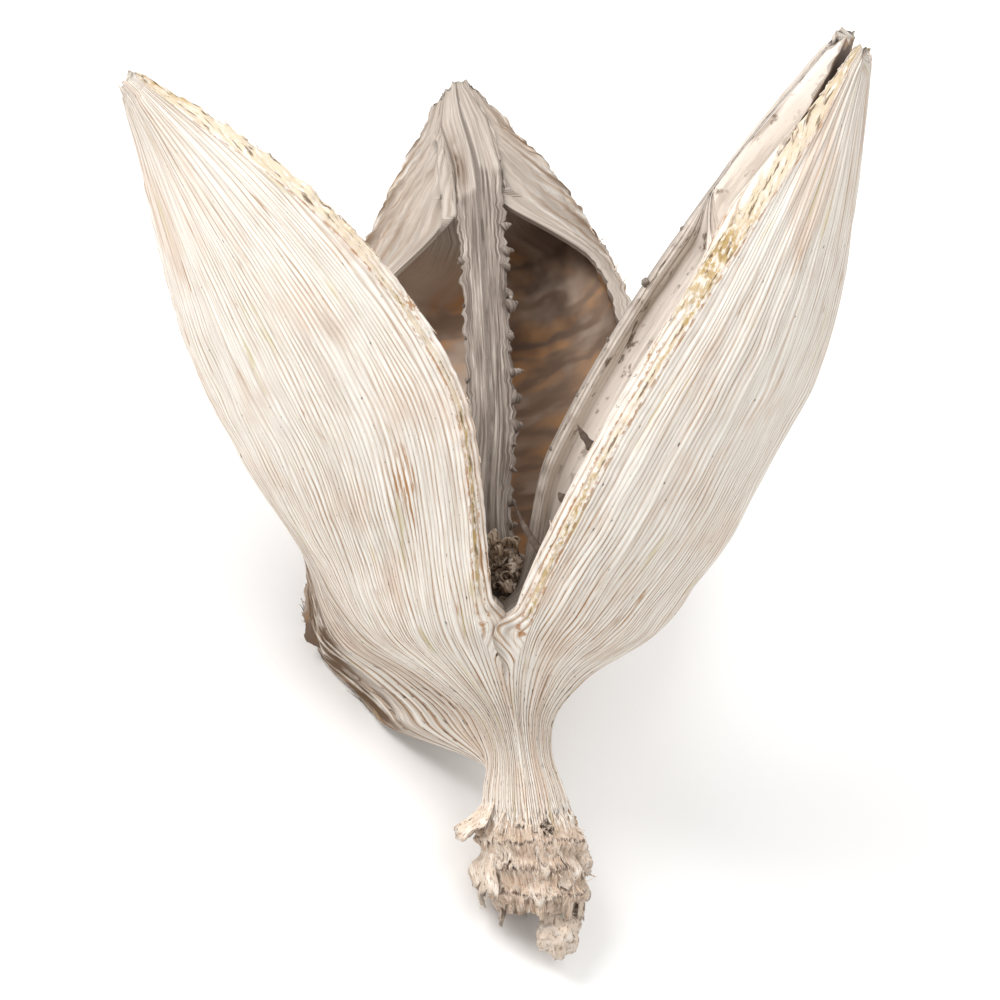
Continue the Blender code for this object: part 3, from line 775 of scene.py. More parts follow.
class Painter:
    """Builds a material's colour from layers, each laid over the last through its masks."""

    def __init__(self, name: str, ground: str) -> None:
        """Starts a material with a ground colour."""
        self.material = bpy.data.materials.new(name)
        self.material.use_nodes = True
        self.tree = self.material.node_tree
        self.shader = self.tree.nodes["Principled BSDF"]
        start = add_node(self.tree, "ShaderNodeRGB")
        start.outputs[0].default_value = linear(ground)
        self.color = start.outputs[0]

    def paint(self, name: str) -> Socket:
        """A value painted on the points."""
        return add_node(self.tree, "ShaderNodeAttribute", attribute_name=name).outputs["Fac"]

    def math(self, operation: str, *values, clamp: bool = False) -> Socket:
        """A sum on values."""
        inputs = dict(enumerate(values))
        return add_node(self.tree, "ShaderNodeMath", inputs, operation=operation, use_clamp=clamp).outputs[0]

    def times(self, *values) -> Socket:
        """The product of values."""
        return functools.reduce(lambda a, b: self.math("MULTIPLY", a, b), values)

    def noise(self, weave: Weave) -> Socket:
        """Noise that follows the grain painted on the points."""
        u = self.math("MULTIPLY_ADD", self.paint("across"), weave.across, weave.place)
        v = self.math("MULTIPLY", self.paint("along"), weave.along)
        place = add_node(self.tree, "ShaderNodeCombineXYZ", {0: u, 1: v, 2: weave.place}).outputs[0]
        inputs = {"Vector": place, "Scale": 1.0, "Detail": weave.detail, "Roughness": weave.rough}
        return add_node(self.tree, "ShaderNodeTexNoise", inputs).outputs["Fac"]

    def span(self, value: Socket, low: float, high: float, top: float = 1.0) -> Socket:
        """Makes a mask of a value.

        Args:
            value: the value.
            low: where the mask is 0; it may be above high.
            high: where the mask reaches its top.
            top: the mask's highest value.

        Returns:
            The mask, smooth between low and high and held beyond them.
        """
        inputs = {"Value": value, "From Min": low, "From Max": high, "To Min": 0.0, "To Max": top}
        settings = {"clamp": True, "interpolation_type": "SMOOTHSTEP"}
        return add_node(self.tree, "ShaderNodeMapRange", inputs, **settings).outputs[0]

    def cloud(self, weave: Weave, low: float, high: float, top: float = 1.0) -> Socket:
        """A mask made of noise, spanned as in span()."""
        return self.span(self.noise(weave), low, high, top)

    def lay(self, color: str, *masks) -> None:
        """Lays a colour over what is there, through the product of masks."""
        inputs = {"Factor": self.times(*masks), 6: self.color, 7: linear(color)}
        self.color = add_node(self.tree, "ShaderNodeMix", inputs, data_type="RGBA").outputs[2]

    def finish(
        self, roughness: float, bump: Socket | None = None, depth: float = 0.0
    ) -> bpy.types.Material:
        """Closes the material.

        Args:
            roughness: the shader's roughness.
            bump: the height of the fine relief, 0 to 1.
            depth: that relief's depth in metres.

        Returns:
            The finished material.
        """
        self.tree.links.new(self.color, self.shader.inputs["Base Color"])
        self.shader.inputs["Roughness"].default_value = roughness
        self.shader.inputs["IOR"].default_value = 1.45
        self.shader.inputs["Specular IOR Level"].default_value = 0.25
        if bump is not None:
            made = add_node(self.tree, "ShaderNodeBump", {"Height": bump, "Distance": depth, "Strength": 0.6})
            self.tree.links.new(made.outputs[0], self.shader.inputs["Normal"])
        return self.material


@dataclass(frozen=True)
class BleachedRind:
    """Woody capsule wall, sun-bleached and fibrous: matt cream with tan lines between its fibres."""

    ground: str = "#EAE3D9"
    ridge: str = "#F7F3EC"
    valley: str = "#B8987A"
    brown: str = "#8C6440"
    shade: str = "#CFC1B4"
    blush: str = "#DBC2AE"
    rust: str = "#A8743C"
    tint: str = "#BFB068"
    speck: str = "#3B2D22"
    margin: str = "#DCCBB0"
    ochre: str = "#A98843"
    crack: str = "#5E4631"
    face: str = "#CBBFB3"
    face_light: str = "#E4DACE"
    face_dark: str = "#9C8B7C"
    rib: str = "#9A8E84"
    rib_dark: str = "#64584F"
    # A paler face colour, partly standing in for light in the right valve's recess.
    pale_and_lit: str = "#EFE4D9"
    chamber: str = "#A48B77"
    chamber_dark: str = "#54433A"
    chamber_warm: str = "#C4966A"
    chamber_pale: str = "#C3B2A3"
    # Dark colour for the skirt's painted shade and for the real dark margins and streaks.
    grime_and_shade: str = "#7C6A5A"
    pith: str = "#DCC5B0"
    pith_dark: str = "#A98A6F"
    ring: str = "#4E3B38"
    # Dark colour for painted shade in the throat and the chambers' bottoms, and for the real dark teeth, broken
    # stalks and the tip's groove.
    soot: str = "#4A3A2F"
    roughness: float = 0.8
    relief: float = 0.00028

    BROAD = Weave(0.13, 0.05, 5.0, 2.0, 0.5)
    STREAK = Weave(1.3, 0.05, 3.0)
    PATCH = Weave(0.10, 0.045, 7.0, 3.0, 0.55)
    WORN = Weave(0.35, 0.09, 9.0)
    FAINT = Weave(0.9, 0.05, 19.0)
    BROKEN = Weave(1.1, 0.12, 13.0)
    HAIR = Weave(5.5, 0.14, 17.0, 2.0)
    STAIN = Weave(0.20, 0.05, 23.0)
    STAIN_GRAIN = Weave(2.6, 0.16, 29.0)
    TINT = Weave(0.5, 0.06, 31.0, 3.0, 0.5)
    DOTS = Weave(2.4, 0.9, 41.0, 2.0, 0.5)
    FINE = Weave(4.2, 0.14, 11.0)
    PULP = Weave(0.8, 0.9, 45.0, 4.0, 0.65)
    TORN = Weave(2.6, 1.3, 47.0, 4.0, 0.65)
    FACE_STREAK = Weave(1.7, 0.05, 57.0, 4.0)
    RIB_GRAIN = Weave(2.6, 0.09, 71.0)
    WARP = Weave(0.10, 0.16, 53.0, 3.0, 0.5)
    BLOTCH = Weave(0.09, 0.10, 61.0, 3.0, 0.55)
    UPPER_SHADE_CLOUD = Weave(0.12, 0.09, 67.0, 3.0, 0.5)
    PITS = Weave(1.1, 0.26, 73.0, 4.0, 0.65)
    CRUMB = Weave(1.7, 0.8, 83.0, 4.0, 0.65)
    CRACKS = Weave(2.6, 0.35, 97.0)
    MOSS = Weave(0.10, 0.07, 91.0, 2.0, 0.5)
    GRIME_NOISE = Weave(1.5, 0.16, 103.0, 4.0)
    # The collar's dark rings: height, width and strength.
    RINGS = ((-25.6, 0.35, 0.8), (-29.0, 0.9, 0.75), (-32.4, 0.4, 0.85))
    # The places across between which the paint passes from one half chamber to the other, from the one painted
    # paler as light to the one with painted shade at its top.
    HALVES = (76.0, 84.0)

    def fibres(self, p: Painter) -> Socket:
        """How high a place stands on its fibre: 0 in the valleys, 1 on the ridges."""
        waves = []
        for scale in (1.0, 0.5):
            turn = p.math("FRACT", p.math("MULTIPLY", p.paint("fibre"), scale))
            wave = p.math("ABSOLUTE", p.math("MULTIPLY_ADD", turn, 2.0, -1.0))
            waves.append(p.math("SUBTRACT", 1.0, wave))
        inputs = {0: p.paint("merge"), 2: waves[0], 3: waves[1]}
        return add_node(p.tree, "ShaderNodeMix", inputs, data_type="FLOAT").outputs[0]

    def outside(self, p: Painter, fibre: Socket, fine: Socket) -> None:
        """Lays the rind's own colours.

        Args:
            p: the material's painter.
            fibre: how high a place stands on its fibre.
            fine: the finest streaks.
        """
        # How strongly the brown valley lines are laid: more towards the bottom and in broad patches, and on the
        # skirt as part of its painted shade.
        low = p.span(p.paint("along"), 46.0, -12.0)
        wear_and_shade = p.math("MULTIPLY_ADD", low, 0.70, 0.22)
        wear_and_shade = p.math("MULTIPLY_ADD", p.cloud(self.BROAD, 0.36, 0.62), 0.35, wear_and_shade, clamp=True)
        wear_and_shade = p.math("MULTIPLY_ADD", p.paint("grime_and_shade"), 0.6, wear_and_shade, clamp=True)
        p.lay(self.blush, p.cloud(self.PATCH, 0.50, 0.66, 0.6))
        p.lay(self.shade, p.cloud(self.STREAK, 0.46, 0.64, 0.6))
        p.lay(self.ridge, p.span(fibre, 0.35, 0.9), p.cloud(self.WORN, 0.36, 0.60), p.span(fine, 0.35, 0.55))
        faint = p.math("MULTIPLY_ADD", p.cloud(self.FAINT, 0.34, 0.58), 0.8, 0.2)
        p.lay(self.valley, p.span(fibre, 0.50, 0.05), wear_and_shade, faint)
        p.lay(self.brown, p.span(fibre, 0.34, 0.0), p.cloud(self.BROKEN, 0.45, 0.56), wear_and_shade, 0.9)
        p.lay(self.valley, p.cloud(self.HAIR, 0.56, 0.66, 0.7), wear_and_shade)
        p.lay(self.rust, p.cloud(self.STAIN, 0.61, 0.68), p.cloud(self.STAIN_GRAIN, 0.50, 0.56), 0.75)
        p.lay(self.tint, p.cloud(self.TINT, 0.62, 0.72, 0.45))
        neck = p.span(p.paint("along"), 4.0, -10.0)
        thin = p.math("MULTIPLY_ADD", neck, -0.075, p.math("MULTIPLY_ADD", low, -0.03, 0.71))
        dots = p.math("SUBTRACT", p.noise(self.DOTS), thin)
        p.lay(self.speck, p.span(dots, 0.0, 0.03, 0.85), p.span(fibre, 0.75, 0.35))

    def stalk(self, p: Painter) -> Socket:
        """Lays the torn collar's colours and gives how pulpy a place is."""
        cloud, torn = p.noise(self.PULP), p.noise(self.TORN)
        edge = p.math("MULTIPLY_ADD", cloud, 5.0, p.paint("along"))
        pulp = p.times(p.span(edge, -20.5, -22.0), p.math("SUBTRACT", 1.0, p.paint("face")))
        p.lay(self.pith, pulp, 0.85)
        p.lay(self.ridge, pulp, p.span(cloud, 0.54, 0.68, 0.7))
        p.lay(self.pith_dark, pulp, p.span(torn, 0.52, 0.64, 0.8))
        for height, width, strength in self.RINGS:
            wave = p.noise(Weave(0.22, 0.0, 50.0 - height, 2.0, 0.5))
            wander = p.math("MULTIPLY_ADD", wave, 2.4, -1.2 - height)
            off = p.math("ABSOLUTE", p.math("ADD", p.paint("along"), wander))
            p.lay(self.ring, p.span(off, width, 0.1, strength), p.span(torn, 0.40, 0.56), pulp)
        return pulp

    def chambers(self, p: Painter) -> None:
        """Lays the half chambers' bands and blotches, their painted shade and their painted light."""
        inside = p.span(p.paint("inside"), 0.25, 0.8)
        across, along = p.paint("across"), p.paint("along")
        band = p.math("MULTIPLY_ADD", p.noise(self.WARP), 3.2, p.math("MULTIPLY", along, 0.20))
        ladder = p.math("ABSOLUTE", p.math("MULTIPLY_ADD", p.math("FRACT", band), 2.0, -1.0))
        blotch = p.noise(self.BLOTCH)
        near, far = self.HALVES
        p.lay(self.chamber, inside)
        p.lay(self.chamber_dark, inside, p.span(ladder, 0.10, 0.95, 0.35))
        p.lay(self.chamber_warm, inside, p.span(ladder, 0.85, 0.25), p.span(blotch, 0.45, 0.58, 0.8))
        p.lay(self.chamber_pale, inside, p.span(ladder, 0.90, 0.20), p.span(blotch, 0.50, 0.38, 0.6))
        # Painted light: the half chambers on side -1 are painted paler, as if lit.
        p.lay(self.chamber_pale, inside, p.span(across, far, near), p.span(blotch, 0.60, 0.44, 0.75))
        # Painted shade: the chambers darken towards their deep bottom.
        p.lay(self.soot, inside, p.span(along, 16.0, 2.0, 0.8))
        # Painted shade: dark patches at the top of the half chambers on side +1.
        upper_shade = p.times(p.cloud(self.UPPER_SHADE_CLOUD, 0.38, 0.60), p.span(along, 44.0, 62.0), p.span(across, near, far))
        p.lay(self.chamber_dark, inside, upper_shade, 0.8)

    def split_face(self, p: Painter) -> None:
        """Lays the colours of the split faces: pale strip, rib, half chambers, and bare tissue painted paler as
        painted light.
        """
        face, streak = p.span(p.paint("face"), 0.3, 1.0), p.noise(self.FACE_STREAK)
        p.lay(self.face, face)
        p.lay(self.face_light, face, p.span(streak, 0.48, 0.68, 0.7))
        p.lay(self.face_dark, face, p.span(streak, 0.47, 0.30, 0.7))
        rib, grain = p.span(p.paint("rib"), 0.25, 0.8), p.noise(self.RIB_GRAIN)
        p.lay(self.rib, rib)
        p.lay(self.rib_dark, rib, p.span(grain, 0.46, 0.60, 0.8))
        p.lay(self.face_light, rib, p.span(grain, 0.42, 0.34, 0.45))
        self.chambers(p)
        # Painted light: the right valve's recess is painted pale, partly its own pale face.
        pale_and_lit = p.paint("pale_and_lit")
        p.lay(self.pale_and_lit, pale_and_lit, 0.85)
        p.lay(self.face_dark, pale_and_lit, p.span(streak, 0.50, 0.34, 0.75))
        p.lay(self.crack, pale_and_lit, p.cloud(self.PITS, 0.55, 0.64, 0.8))

    def edges(self, p: Painter) -> Socket:
        """Lays the ragged margins, the skirt's dirt and painted shade, and the throat's painted shade, and
        gives the crumb.
        """
        band, crumb = p.span(p.paint("band"), 0.30, 0.85), p.noise(self.CRUMB)
        p.lay(self.margin, band, p.span(crumb, 0.36, 0.52, 0.9))
        p.lay(self.ochre, band, p.cloud(self.MOSS, 0.46, 0.58), p.span(crumb, 0.44, 0.56, 0.8))
        p.lay(self.crack, band, p.cloud(self.CRACKS, 0.55, 0.64, 0.85))
        line = p.times(p.span(p.paint("band"), 0.10, 0.22), p.span(p.paint("band"), 0.36, 0.26))
        p.lay(self.rust, line, p.span(crumb, 0.46, 0.56, 0.8))
        grime_and_shade, dirt_and_shade = p.paint("grime_and_shade"), p.noise(self.GRIME_NOISE)
        # Painted shade on the skirt and its split face, with real dark margins and streaks elsewhere; the
        # darkest of it gets cracks.
        p.lay(self.grime_and_shade, grime_and_shade, p.span(dirt_and_shade, 0.30, 0.58))
        p.lay(self.crack, p.span(grime_and_shade, 0.66, 0.95), p.span(dirt_and_shade, 0.46, 0.60, 0.85))
        # Painted shade in the throat, with the real dark of the teeth, broken stalks and the tip's groove.
        p.lay(self.soot, p.span(p.paint("soot"), 0.05, 0.8, 0.8))
        return crumb

    def material(self, name: str) -> bpy.types.Material:
        """The finish, as a material."""
        p = Painter(name, self.ground)
        fibre, fine = self.fibres(p), p.noise(self.FINE)
        self.outside(p, fibre, fine)
        pulp = self.stalk(p)
        self.split_face(p)
        crumb = self.edges(p)
        rough = p.math("ADD", p.paint("band"), pulp, clamp=True)
        smooth = p.math("MULTIPLY_ADD", p.paint("inside"), -0.55, 0.55)
        bump = p.times(p.math("MULTIPLY_ADD", fine, 1.45, p.math("POWER", fibre, 0.6)), smooth)
        bump = p.math("ADD", bump, p.times(crumb, rough, 1.6))
        return p.finish(self.roughness, bump, self.relief)


@dataclass(frozen=True)
class TornPith:
    """Torn inner bark of the stalk's collar: pulpy, pinkish beige, with dark dirt specks and painted shade
    under its scales.
    """

    ground: str = "#E0CEBC"
    light: str = "#F2E9DE"
    dark: str = "#8E7056"
    dirt_and_shade: str = "#3F3025"
    roughness: float = 0.85
    relief: float = 0.0004

    CLOUD = Weave(0.8, 0.7, 5.0, 4.0, 0.65)
    FINE = Weave(3.0, 1.2, 15.0, 4.0, 0.65)
    DOTS = Weave(2.2, 1.6, 25.0)

    def material(self, name: str) -> bpy.types.Material:
        """The finish, as a material."""
        p = Painter(name, self.ground)
        cloud, fine = p.noise(self.CLOUD), p.noise(self.FINE)
        p.lay(self.light, p.span(cloud, 0.48, 0.62, 0.8))
        p.lay(self.dark, p.span(fine, 0.52, 0.66, 0.8))
        # Painted shade under the collar's scales, with the real dark of the lumps and loose hairs.
        p.lay(self.dirt_and_shade, p.paint("soot"), p.span(cloud, 0.3, 0.6))
        p.lay(self.dirt_and_shade, p.cloud(self.DOTS, 0.62, 0.68, 0.75))
        return p.finish(self.roughness, fine, self.relief)


@dataclass(frozen=True)
class DryFlake:
    """Dried seed coat and membrane: thin, curled, brown with paler edges."""

    ground: str = "#B9A48E"
    light: str = "#EADCCB"
    dark: str = "#5E4B3C"
    roughness: float = 0.82
    relief: float = 0.0003

    CLOUD = Weave(0.7, 0.9, 5.0)
    SPOTS = Weave(1.9, 2.3, 9.0, 2.0, 0.5)

    def material(self, name: str) -> bpy.types.Material:
        """The finish, as a material."""
        p = Painter(name, self.ground)
        cloud = p.noise(self.CLOUD)
        p.lay(self.light, p.span(cloud, 0.50, 0.62, 0.85))
        p.lay(self.dark, p.cloud(self.SPOTS, 0.50, 0.62, 0.85))
        return p.finish(self.roughness, cloud, self.relief)


@dataclass(frozen=True)
class PaleFloor:
    """Matt off-white board: the photograph's plain bright ground."""

    ground: str = "#FBFAF9"
    roughness: float = 0.9

    def material(self, name: str) -> bpy.types.Material:
        """The finish, as a material."""
        return Painter(name, self.ground).finish(self.roughness)


@dataclass
class Collar:
    """The torn collar at the stalk's end: bark scales, small flakes, a broken stub and a knob."""

    thickness: float = 0.7
    columns: int = 26
    steps: int = 9
    # Azimuth, half its width in degrees, root and tip heights, and how far the tip lifts.
    scales: tuple = (
        (192.0, 30.0, -20.0, -24.9, 3.4), (206.0, 15.0, -24.5, -33.0, 2.4), (178.0, 17.0, -25.0, -31.0, 2.8),
        (232.0, 22.0, -24.0, -28.8, 0.35), (268.0, 20.0, -28.5, -33.4, 0.3), (296.0, 22.0, -23.4, -28.0, 0.3),
        (335.0, 22.0, -26.0, -30.2, 0.6), (15.0, 28.0, -23.4, -27.4, 1.2), (60.0, 26.0, -25.2, -30.4, 1.05),
        (110.0, 30.0, -22.4, -26.8, 1.3), (140.0, 24.0, -27.2, -33.2, 1.3),
    )
    flakes: int = 34
    # Centre, radii, darkness and seed.
    lumps: tuple = (
        ((7.0, -1.0, -37.6), (3.2, 3.0, 3.4), 0.15, 3),
        ((10.2, -1.5, -28.6), (1.5, 1.4, 1.8), 0.30, 4),
        ((5.6, -5.8, -24.0), (0.9, 0.5, 1.2), 1.0, 5),
    )

    def scale(self, shape: Shape, place: tuple, seed: int) -> None:
        """Adds one torn scale, rooted in the stalk and lifting at its ragged tip.

        Args:
            shape: the shape to add to.
            place: the scale, as a row of scales.
            seed: its own grain's seed.
        """
        azimuth, half_width, root, tip, lift = place
        grain = Grain(seed)
        sections = []
        for share in np.linspace(-1.0, 1.0, self.columns):
            tear = 0.16 * math.sin(5.0 * share + azimuth) + 0.16 * float(grain.at(share * 6, 0.5))
            end = tip + (root - tip) * tear
            turn = azimuth + share * half_width
            top, down = [], []
            for t in np.linspace(0.0, 1.0, self.steps):
                height = root + 0.6 + (end - root - 0.6) * t
                stand = float(POD.radius(height)) - 0.4 + (lift * (1 - 0.5 * share**2) + 0.3) * t**1.6
                stand += 0.35 * t * float(grain.at(share * 4, height * 0.8))
                thick = self.thickness * (1 - 0.75 * t) * (1 - 0.6 * abs(share) ** 4)
                top.append(POD.beside(turn, height, stand))
                down.append(POD.beside(turn, height - 0.1 * thick, stand - thick))
            sections.append(top + down[::-1])
        rings = np.array(sections)
        along = np.broadcast_to(np.concatenate([np.linspace(0, 6, self.steps)] * 2), rings.shape[:2])
        across = np.broadcast_to(np.linspace(0, 9, self.columns)[:, None] + seed, rings.shape[:2])
        soot = np.zeros(rings.shape[:2])
        # Painted shade: the scale's underside is painted dark.
        soot[:, self.steps:] = 0.6
        shape.loft(rings, across=across, along=along, soot=soot)

    def lump(self, shape: Shape, center: tuple, radii: tuple, soot: float, seed: int) -> None:
        """Adds one rough rounded lump.

        Args:
            shape: the shape to add to.
            center: its middle.
            radii: its three radii.
            soot: how dark it is.
            seed: its grain's seed.
        """
        grain, finer = Grain(seed), Grain(seed + 50)
        around, rows = 56, 40
        turn = np.linspace(0, 2 * math.pi, around, endpoint=False)
        rings = []
        for polar in np.linspace(0.04, math.pi - 0.04, rows):
            x, y = np.sin(polar) * np.cos(turn), np.sin(polar) * np.sin(turn)
            z = np.full_like(turn, np.cos(polar))
            size = 1 + 0.20 * grain.at(x * 2.2 + 9, z * 2.2 + y + 9)
            size -= 0.20 * np.abs(finer.at(x * 5 + 9, z * 5 + 3 * y + 9))
            rings.append(np.array(center) + np.stack([x, y, z], 1) * np.array(radii) * size[:, None])
        across, along = np.meshgrid(np.linspace(0, 12, around), np.linspace(0, 9, rows))
        shape.loft(np.array(rings), across=across, along=along, soot=soot)

    def shape(self) -> Shape:
        """The collar's torn bark."""
        shape = Shape()
        for k, place in enumerate(self.scales):
            self.scale(shape, place, 400 + k)
        draw = np.random.default_rng(41)
        for k in range(self.flakes):
            root = draw.uniform(-34.0, -21.0)
            tip = root - draw.uniform(1.2, 3.6)
            place = (draw.uniform(0, 360), draw.uniform(4, 12), root, tip, draw.uniform(0.0, 0.8))
            self.scale(shape, place, 500 + k)
        for lump in self.lumps:
            self.lump(shape, *lump)
        return shape


@dataclass
class Fibres:
    """Loose dry fibres: at the collar, along the split margins and on the skirt's rim."""

    seed: int = 60
    at_collar: int = 70
    at_margin: int = 26
    at_rim: int = 26

    def wisp(self, shape: Shape, start: np.ndarray, way: np.ndarray, length: float, radius: float,
             draw: np.random.Generator, soot: float = 0.0) -> None:
        """Adds one curved fibre.

        Args:
            shape: the shape to add to.
            start: its root.
            way: the way it grows.
            length: its length.
            radius: its thickness at the root.
            draw: the draws that bend it.
            soot: how dark it is.
        """
        t = np.linspace(0, 1, 9)[:, None]
        bend = draw.normal(0, 0.25, 3) * length
        path = start + way * length * t + bend * t**2 * 0.5
        radii = radius * (1 - 0.8 * t[:, 0]) + 0.02
        shape.strand(path, radii, across=float(draw.uniform(0, 60)), along=t[:, 0].repeat(5) * 4, soot=soot)

    def rim_hair(self, shape: Shape, height: float, length: float, radius: float,
                 draw: np.random.Generator) -> None:
        """Adds one dark fibre that lies along the skirt's rim.

        Args:
            shape: the shape to add to.
            height: where it starts, along the closed pod.
            length: its length.
            radius: its thickness at the root.
            draw: the draws that bend it.
        """
        left = VALVES[0]
        ends = [left.placed(left.corners(height + step, 1)[0][:1], height + step)[0] for step in (0.0, 5.0)]
        way = (ends[1] - ends[0]) / np.linalg.norm(ends[1] - ends[0])
        self.wisp(shape, ends[0], way, length, radius, draw, 0.7)

    def shape(self) -> Shape:
        """All the loose fibres."""
        draw = np.random.default_rng(self.seed)
        shape = Shape()
        for _ in range(self.at_collar):
            azimuth, height = draw.uniform(0, 360), draw.uniform(-34.5, -21.5)
            start = POD.beside(azimuth, height, float(POD.radius(height)) - 0.2)
            out = POD.beside(azimuth, height, float(POD.radius(height)) + 1) - start
            way = out / np.linalg.norm(out) * draw.uniform(0.2, 0.9) + np.array((0, 0, draw.uniform(-1.2, 0.5)))
            self.wisp(shape, start, way, draw.uniform(1.0, 3.2), draw.uniform(0.06, 0.16), draw)
        for valve in VALVES:
            for side in (-1, 1):
                for _ in range(self.at_margin):
                    height = draw.uniform(4, valve.length - 3)
                    corners, _ = valve.corners(height, side)
                    start = valve.placed(corners[:1] * draw.uniform(0.97, 1.0), height)[0]
                    ahead = valve.placed(corners[:1] * 1.03, height + draw.choice((-2, 2)))[0] - start
                    way = ahead / np.linalg.norm(ahead)
                    self.wisp(shape, start, way, draw.uniform(0.5, 1.6), draw.uniform(0.05, 0.11), draw)
        for _ in range(self.at_rim):
            self.rim_hair(shape, draw.uniform(-10, 12), draw.uniform(1.2, 3.5), draw.uniform(0.05, 0.10), draw)
        self.rim_hair(shape, -2.0, 8.0, 0.14, draw)
        return shape


@dataclass
class Teeth:
    """The torn teeth on the ribs' edges, where the seeds' stalks broke off."""

    seed: int = 80
    # Valve, side, lowest, highest, how many, length, thickness and darkness.
    rows: tuple = (
        (2, 1, 14, 62, 15, 1.3, 0.75, 0.25), (2, -1, 18, 58, 7, 0.8, 0.5, 0.6),
        (1, 1, 26, 60, 5, 0.5, 0.4, 0.3), (1, -1, 22, 58, 7, 1.2, 0.5, 0.6),
        (0, 1, 22, 58, 8, 1.2, 0.5, 0.6), (0, -1, 22, 58, 8, 1.2, 0.5, 0.6),
    )
    # The broken stalks in the right valve: height, which way and how far, and thickness.
    bits: tuple = (
        (17.0, (-4.4, -0.6, 4.0), 0.62), (33.0, (-2.6, -0.8, 2.2), 0.75), (25.0, (-1.8, -0.9, 1.4), 0.9),
    )

    def tooth(self, shape: Shape, root: np.ndarray, way: np.ndarray, thick: float, soot: float,
              draw: np.random.Generator) -> None:
        """Adds one blunt, bent, torn tooth.

        Args:
            shape: the shape to add to.
            root: where it starts.
            way: from its root to its tip.
            thick: its thickness at the root.
            soot: how dark it is.
            draw: the draws that bend it.
        """
        t = np.linspace(0, 1, 9)[:, None]
        side = draw.normal(0, 0.35, 3) * np.linalg.norm(way)
        path = root + way * t + side * t**2
        radii = thick * (1 - t[:, 0]) ** 0.7 * draw.uniform(0.75, 1.2, 9) + 0.06
        place = np.repeat(t[:, 0] * 3 + draw.uniform(0, 60), 7)
        shape.strand(path, radii, 7, across=place, along=place * 2, rib=1.0, face=1.0, soot=soot)

    def shape(self) -> Shape:
        """All the teeth."""
        draw = np.random.default_rng(self.seed)
        shape = Shape()
        for number, side, low, high, count, length, thick, soot in self.rows:
            valve = VALVES[number]
            for height in np.linspace(low, high, count) + draw.uniform(-1.2, 1.2, count):
                corners, _ = valve.corners(float(height), side)
                edge, inner = corners[-2], corners[-1]
                away = (edge - inner) / np.linalg.norm(edge - inner)
                ends = valve.placed(np.array([edge - 0.6 * thick * away, edge + away]), float(height))
                way = (ends[1] - ends[0]) / (1 + 0.6 * thick) + np.array((0, 0, draw.uniform(-0.4, 0.9)))
                size = draw.uniform(0.35, 1.5)
                self.tooth(shape, ends[0], way * length * size, thick * size, soot * draw.uniform(0.4, 1), draw)
        for height, way, thick in self.bits:
            corners, _ = VALVES[1].corners(height, 1)
            root = VALVES[1].placed(corners[2:3] * 0.96, height)[0]
            self.tooth(shape, root, np.array(way), thick, 1.0, draw)
        return shape


@dataclass
class Chaff:
    """The loose curled flakes in the throat."""

    center: tuple = (0.3, -1.6, 8.8)
    spread: tuple = (1.98, 2.7, 3.24)
    thickness: float = 0.22
    flakes: int = 40
    steps: int = 22
    seed: int = 90

    def shape(self) -> Shape:
        """All the flakes."""
        draw = np.random.default_rng(self.seed)
        shape = Shape()
        for k in range(self.flakes):
            offset = draw.uniform(-1, 1, 3) * np.array(self.spread)
            center = np.array(self.center) + offset + np.array((0, 0, draw.uniform(-2.5, 1.5)))
            axis = Matrix.Rotation(draw.uniform(0, 6.3), 3, "Z")
            axis = axis @ Matrix.Rotation(draw.uniform(-1.2, 1.2), 3, "X")
            turn, bend, width = draw.uniform(2.2, 5.0), draw.uniform(0.7, 1.7), draw.uniform(1.0, 2.4)
            rings = []
            for t in np.linspace(0, 1, self.steps):
                angle, radius = turn * t, bend * (1 - 0.4 * t)
                half = width / 2 * (1 - 0.5 * t) * (1 + 0.15 * math.sin(9 * t + k))
                outer = [(radius, -half), (0.94 * radius, 0.2 * math.sin(7 * t + k)), (radius, half)]
                inner = [(reach - self.thickness, side) for reach, side in reversed(outer)]
                c, s = math.cos(angle), math.sin(angle)
                ring = [axis @ Vector((reach * c, side, reach * s)) for reach, side in outer + inner]
                rings.append(np.array(ring) + center)
            rings = np.array(rings)
            across = np.broadcast_to(np.linspace(0, 2, 6) + k * 3.1, rings.shape[:2])
            along = np.broadcast_to(np.linspace(0, 6, self.steps)[:, None], rings.shape[:2])
            shape.loft(rings, across=across, along=along)
        return shape


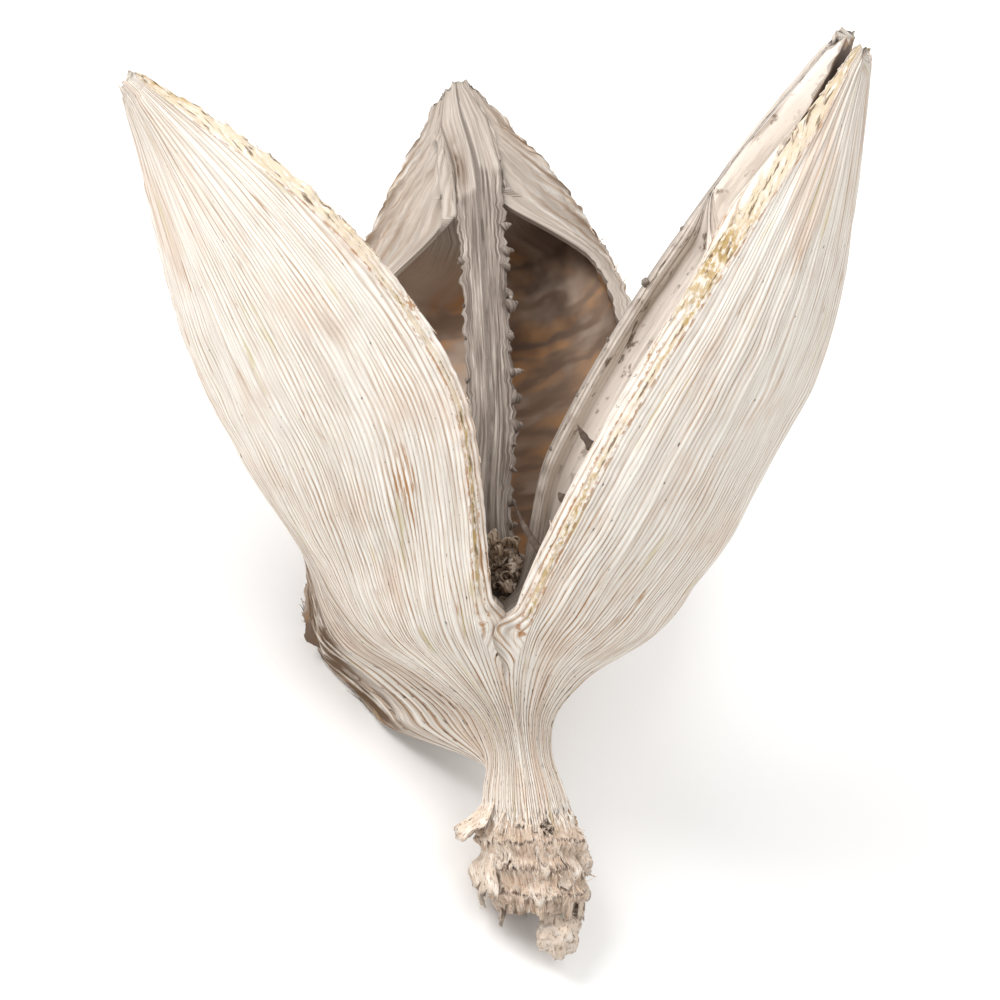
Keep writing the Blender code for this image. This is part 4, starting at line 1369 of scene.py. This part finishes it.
@dataclass
class Studio:
    """A pale floor, soft light and the photograph's view of the pod."""

    scale: float = 0.1286
    distance: float = 700.0
    notch_pixel: tuple[float, float] = (503.0, 640.0)
    sensor: float = 36.0
    image: float = 1000.0
    floor_half: float = 3.0
    aim: tuple[float, float, float] = (0.0, 0.0, 0.04)
    lamp_distance: float = 0.9
    sky: float = 0.64

    def camera(self) -> None:
        """Puts the camera where the photograph was taken from, seen from the lying pod."""
        data = bpy.data.cameras.new("camera")
        data.sensor_width = self.sensor
        data.lens = self.sensor * self.distance / (self.image * self.scale)
        item = bpy.data.objects.new("camera", data)
        middle = self.image / 2
        right = (middle - self.notch_pixel[0]) * self.scale
        up = (self.notch_pixel[1] - middle) * self.scale
        turn = POSE.turn().to_4x4()
        place = Matrix.Translation(Vector(POSE.notch) * MM) @ turn @ Matrix.Translation(
            Vector((right, -self.distance, up)) * MM)
        item.matrix_world = place @ Matrix.Rotation(math.radians(90), 4, "X")
        bpy.context.scene.collection.objects.link(item)
        bpy.context.scene.camera = item

    def floor(self) -> None:
        """Lays the floor."""
        mesh = bpy.data.meshes.new("floor")
        half = self.floor_half
        corners = [(-half, -half, 0), (half, -half, 0), (half, half, 0), (-half, half, 0)]
        mesh.from_pydata(corners, [], [(0, 1, 2, 3)])
        mesh.materials.append(PaleFloor().material("pale_floor"))
        item = bpy.data.objects.new("floor", mesh)
        bpy.context.scene.collection.objects.link(item)

    def light(self, name: str, azimuth: float, elevation: float, watts: float, size: float) -> None:
        """Adds a soft lamp.

        Args:
            name: the lamp's name.
            azimuth: where it stands about the upright pod, in degrees.
            elevation: how far above the upright pod's level, in degrees.
            watts: its power.
            size: its width in metres.
        """
        data = bpy.data.lights.new(name, "AREA")
        data.energy = watts
        data.size = size
        item = bpy.data.objects.new(name, data)
        a, e = math.radians(azimuth), math.radians(elevation)
        way = POSE.turn() @ Vector((math.cos(e) * math.cos(a), math.cos(e) * math.sin(a), math.sin(e)))
        item.location = Vector(self.aim) + way * self.lamp_distance
        item.rotation_euler = way.to_track_quat("Z", "Y").to_euler()
        bpy.context.scene.collection.objects.link(item)

    def build(self) -> None:
        """Sets the whole stage."""
        self.camera()
        self.floor()
        self.light("key", 240.0, 42.0, 6.4, 0.45)
        self.light("fill", 315.0, 25.0, 3.2, 0.8)
        world = bpy.data.worlds.new("studio")
        world.use_nodes = True
        background = world.node_tree.nodes["Background"]
        background.inputs[0].default_value = (1.0, 1.0, 1.0, 1.0)
        background.inputs[1].default_value = self.sky
        bpy.context.scene.world = world
        bpy.context.scene.view_settings.view_transform = "Standard"


def cut(piece: bpy.types.Object, shape: Shape, material: bpy.types.Material) -> None:
    """Cuts a shape from a piece.

    Args:
        piece: the piece.
        shape: what to cut away.
        material: the finish of the new faces.
    """
    tool = shape.piece("tool", material, Slot.RIND)
    boolean = piece.modifiers.new("cut", "BOOLEAN")
    boolean.operation = "DIFFERENCE"
    boolean.object = tool
    boolean.solver = "MANIFOLD"
    graph = bpy.context.evaluated_depsgraph_get()
    mesh = bpy.data.meshes.new_from_object(piece.evaluated_get(graph))
    piece.modifiers.clear()
    piece.data = mesh
    bpy.data.objects.remove(tool)
    LOG.info("%s: %d faces once cut", piece.name, len(mesh.polygons))


def main() -> None:
    """Builds the stage and every piece, in order."""
    logging.basicConfig(level=logging.INFO, format="%(name)s %(message)s")
    Studio().build()
    rind = BleachedRind().material("bleached_fibrous_rind")
    pith = TornPith().material("torn_pith")
    flake = DryFlake().material("dry_flake")
    for valve in VALVES:
        piece = valve.shape().piece("valve_" + valve.name, rind, Slot.RIND)
        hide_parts("pod")
        if valve.groove_side:
            cut(piece, valve.slit(), rind)
    Collar().shape().piece("collar_scales", pith, Slot.RIND)
    Fibres().shape().piece("loose_fibres", pith, Slot.RIND)
    Teeth().shape().piece("rib_teeth", rind, Slot.RIND)
    chaff = Chaff().shape().piece("throat_chaff", flake, Slot.CHAFF)
    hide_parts("seed_chaff")


if __name__ == "__main__":
    main()
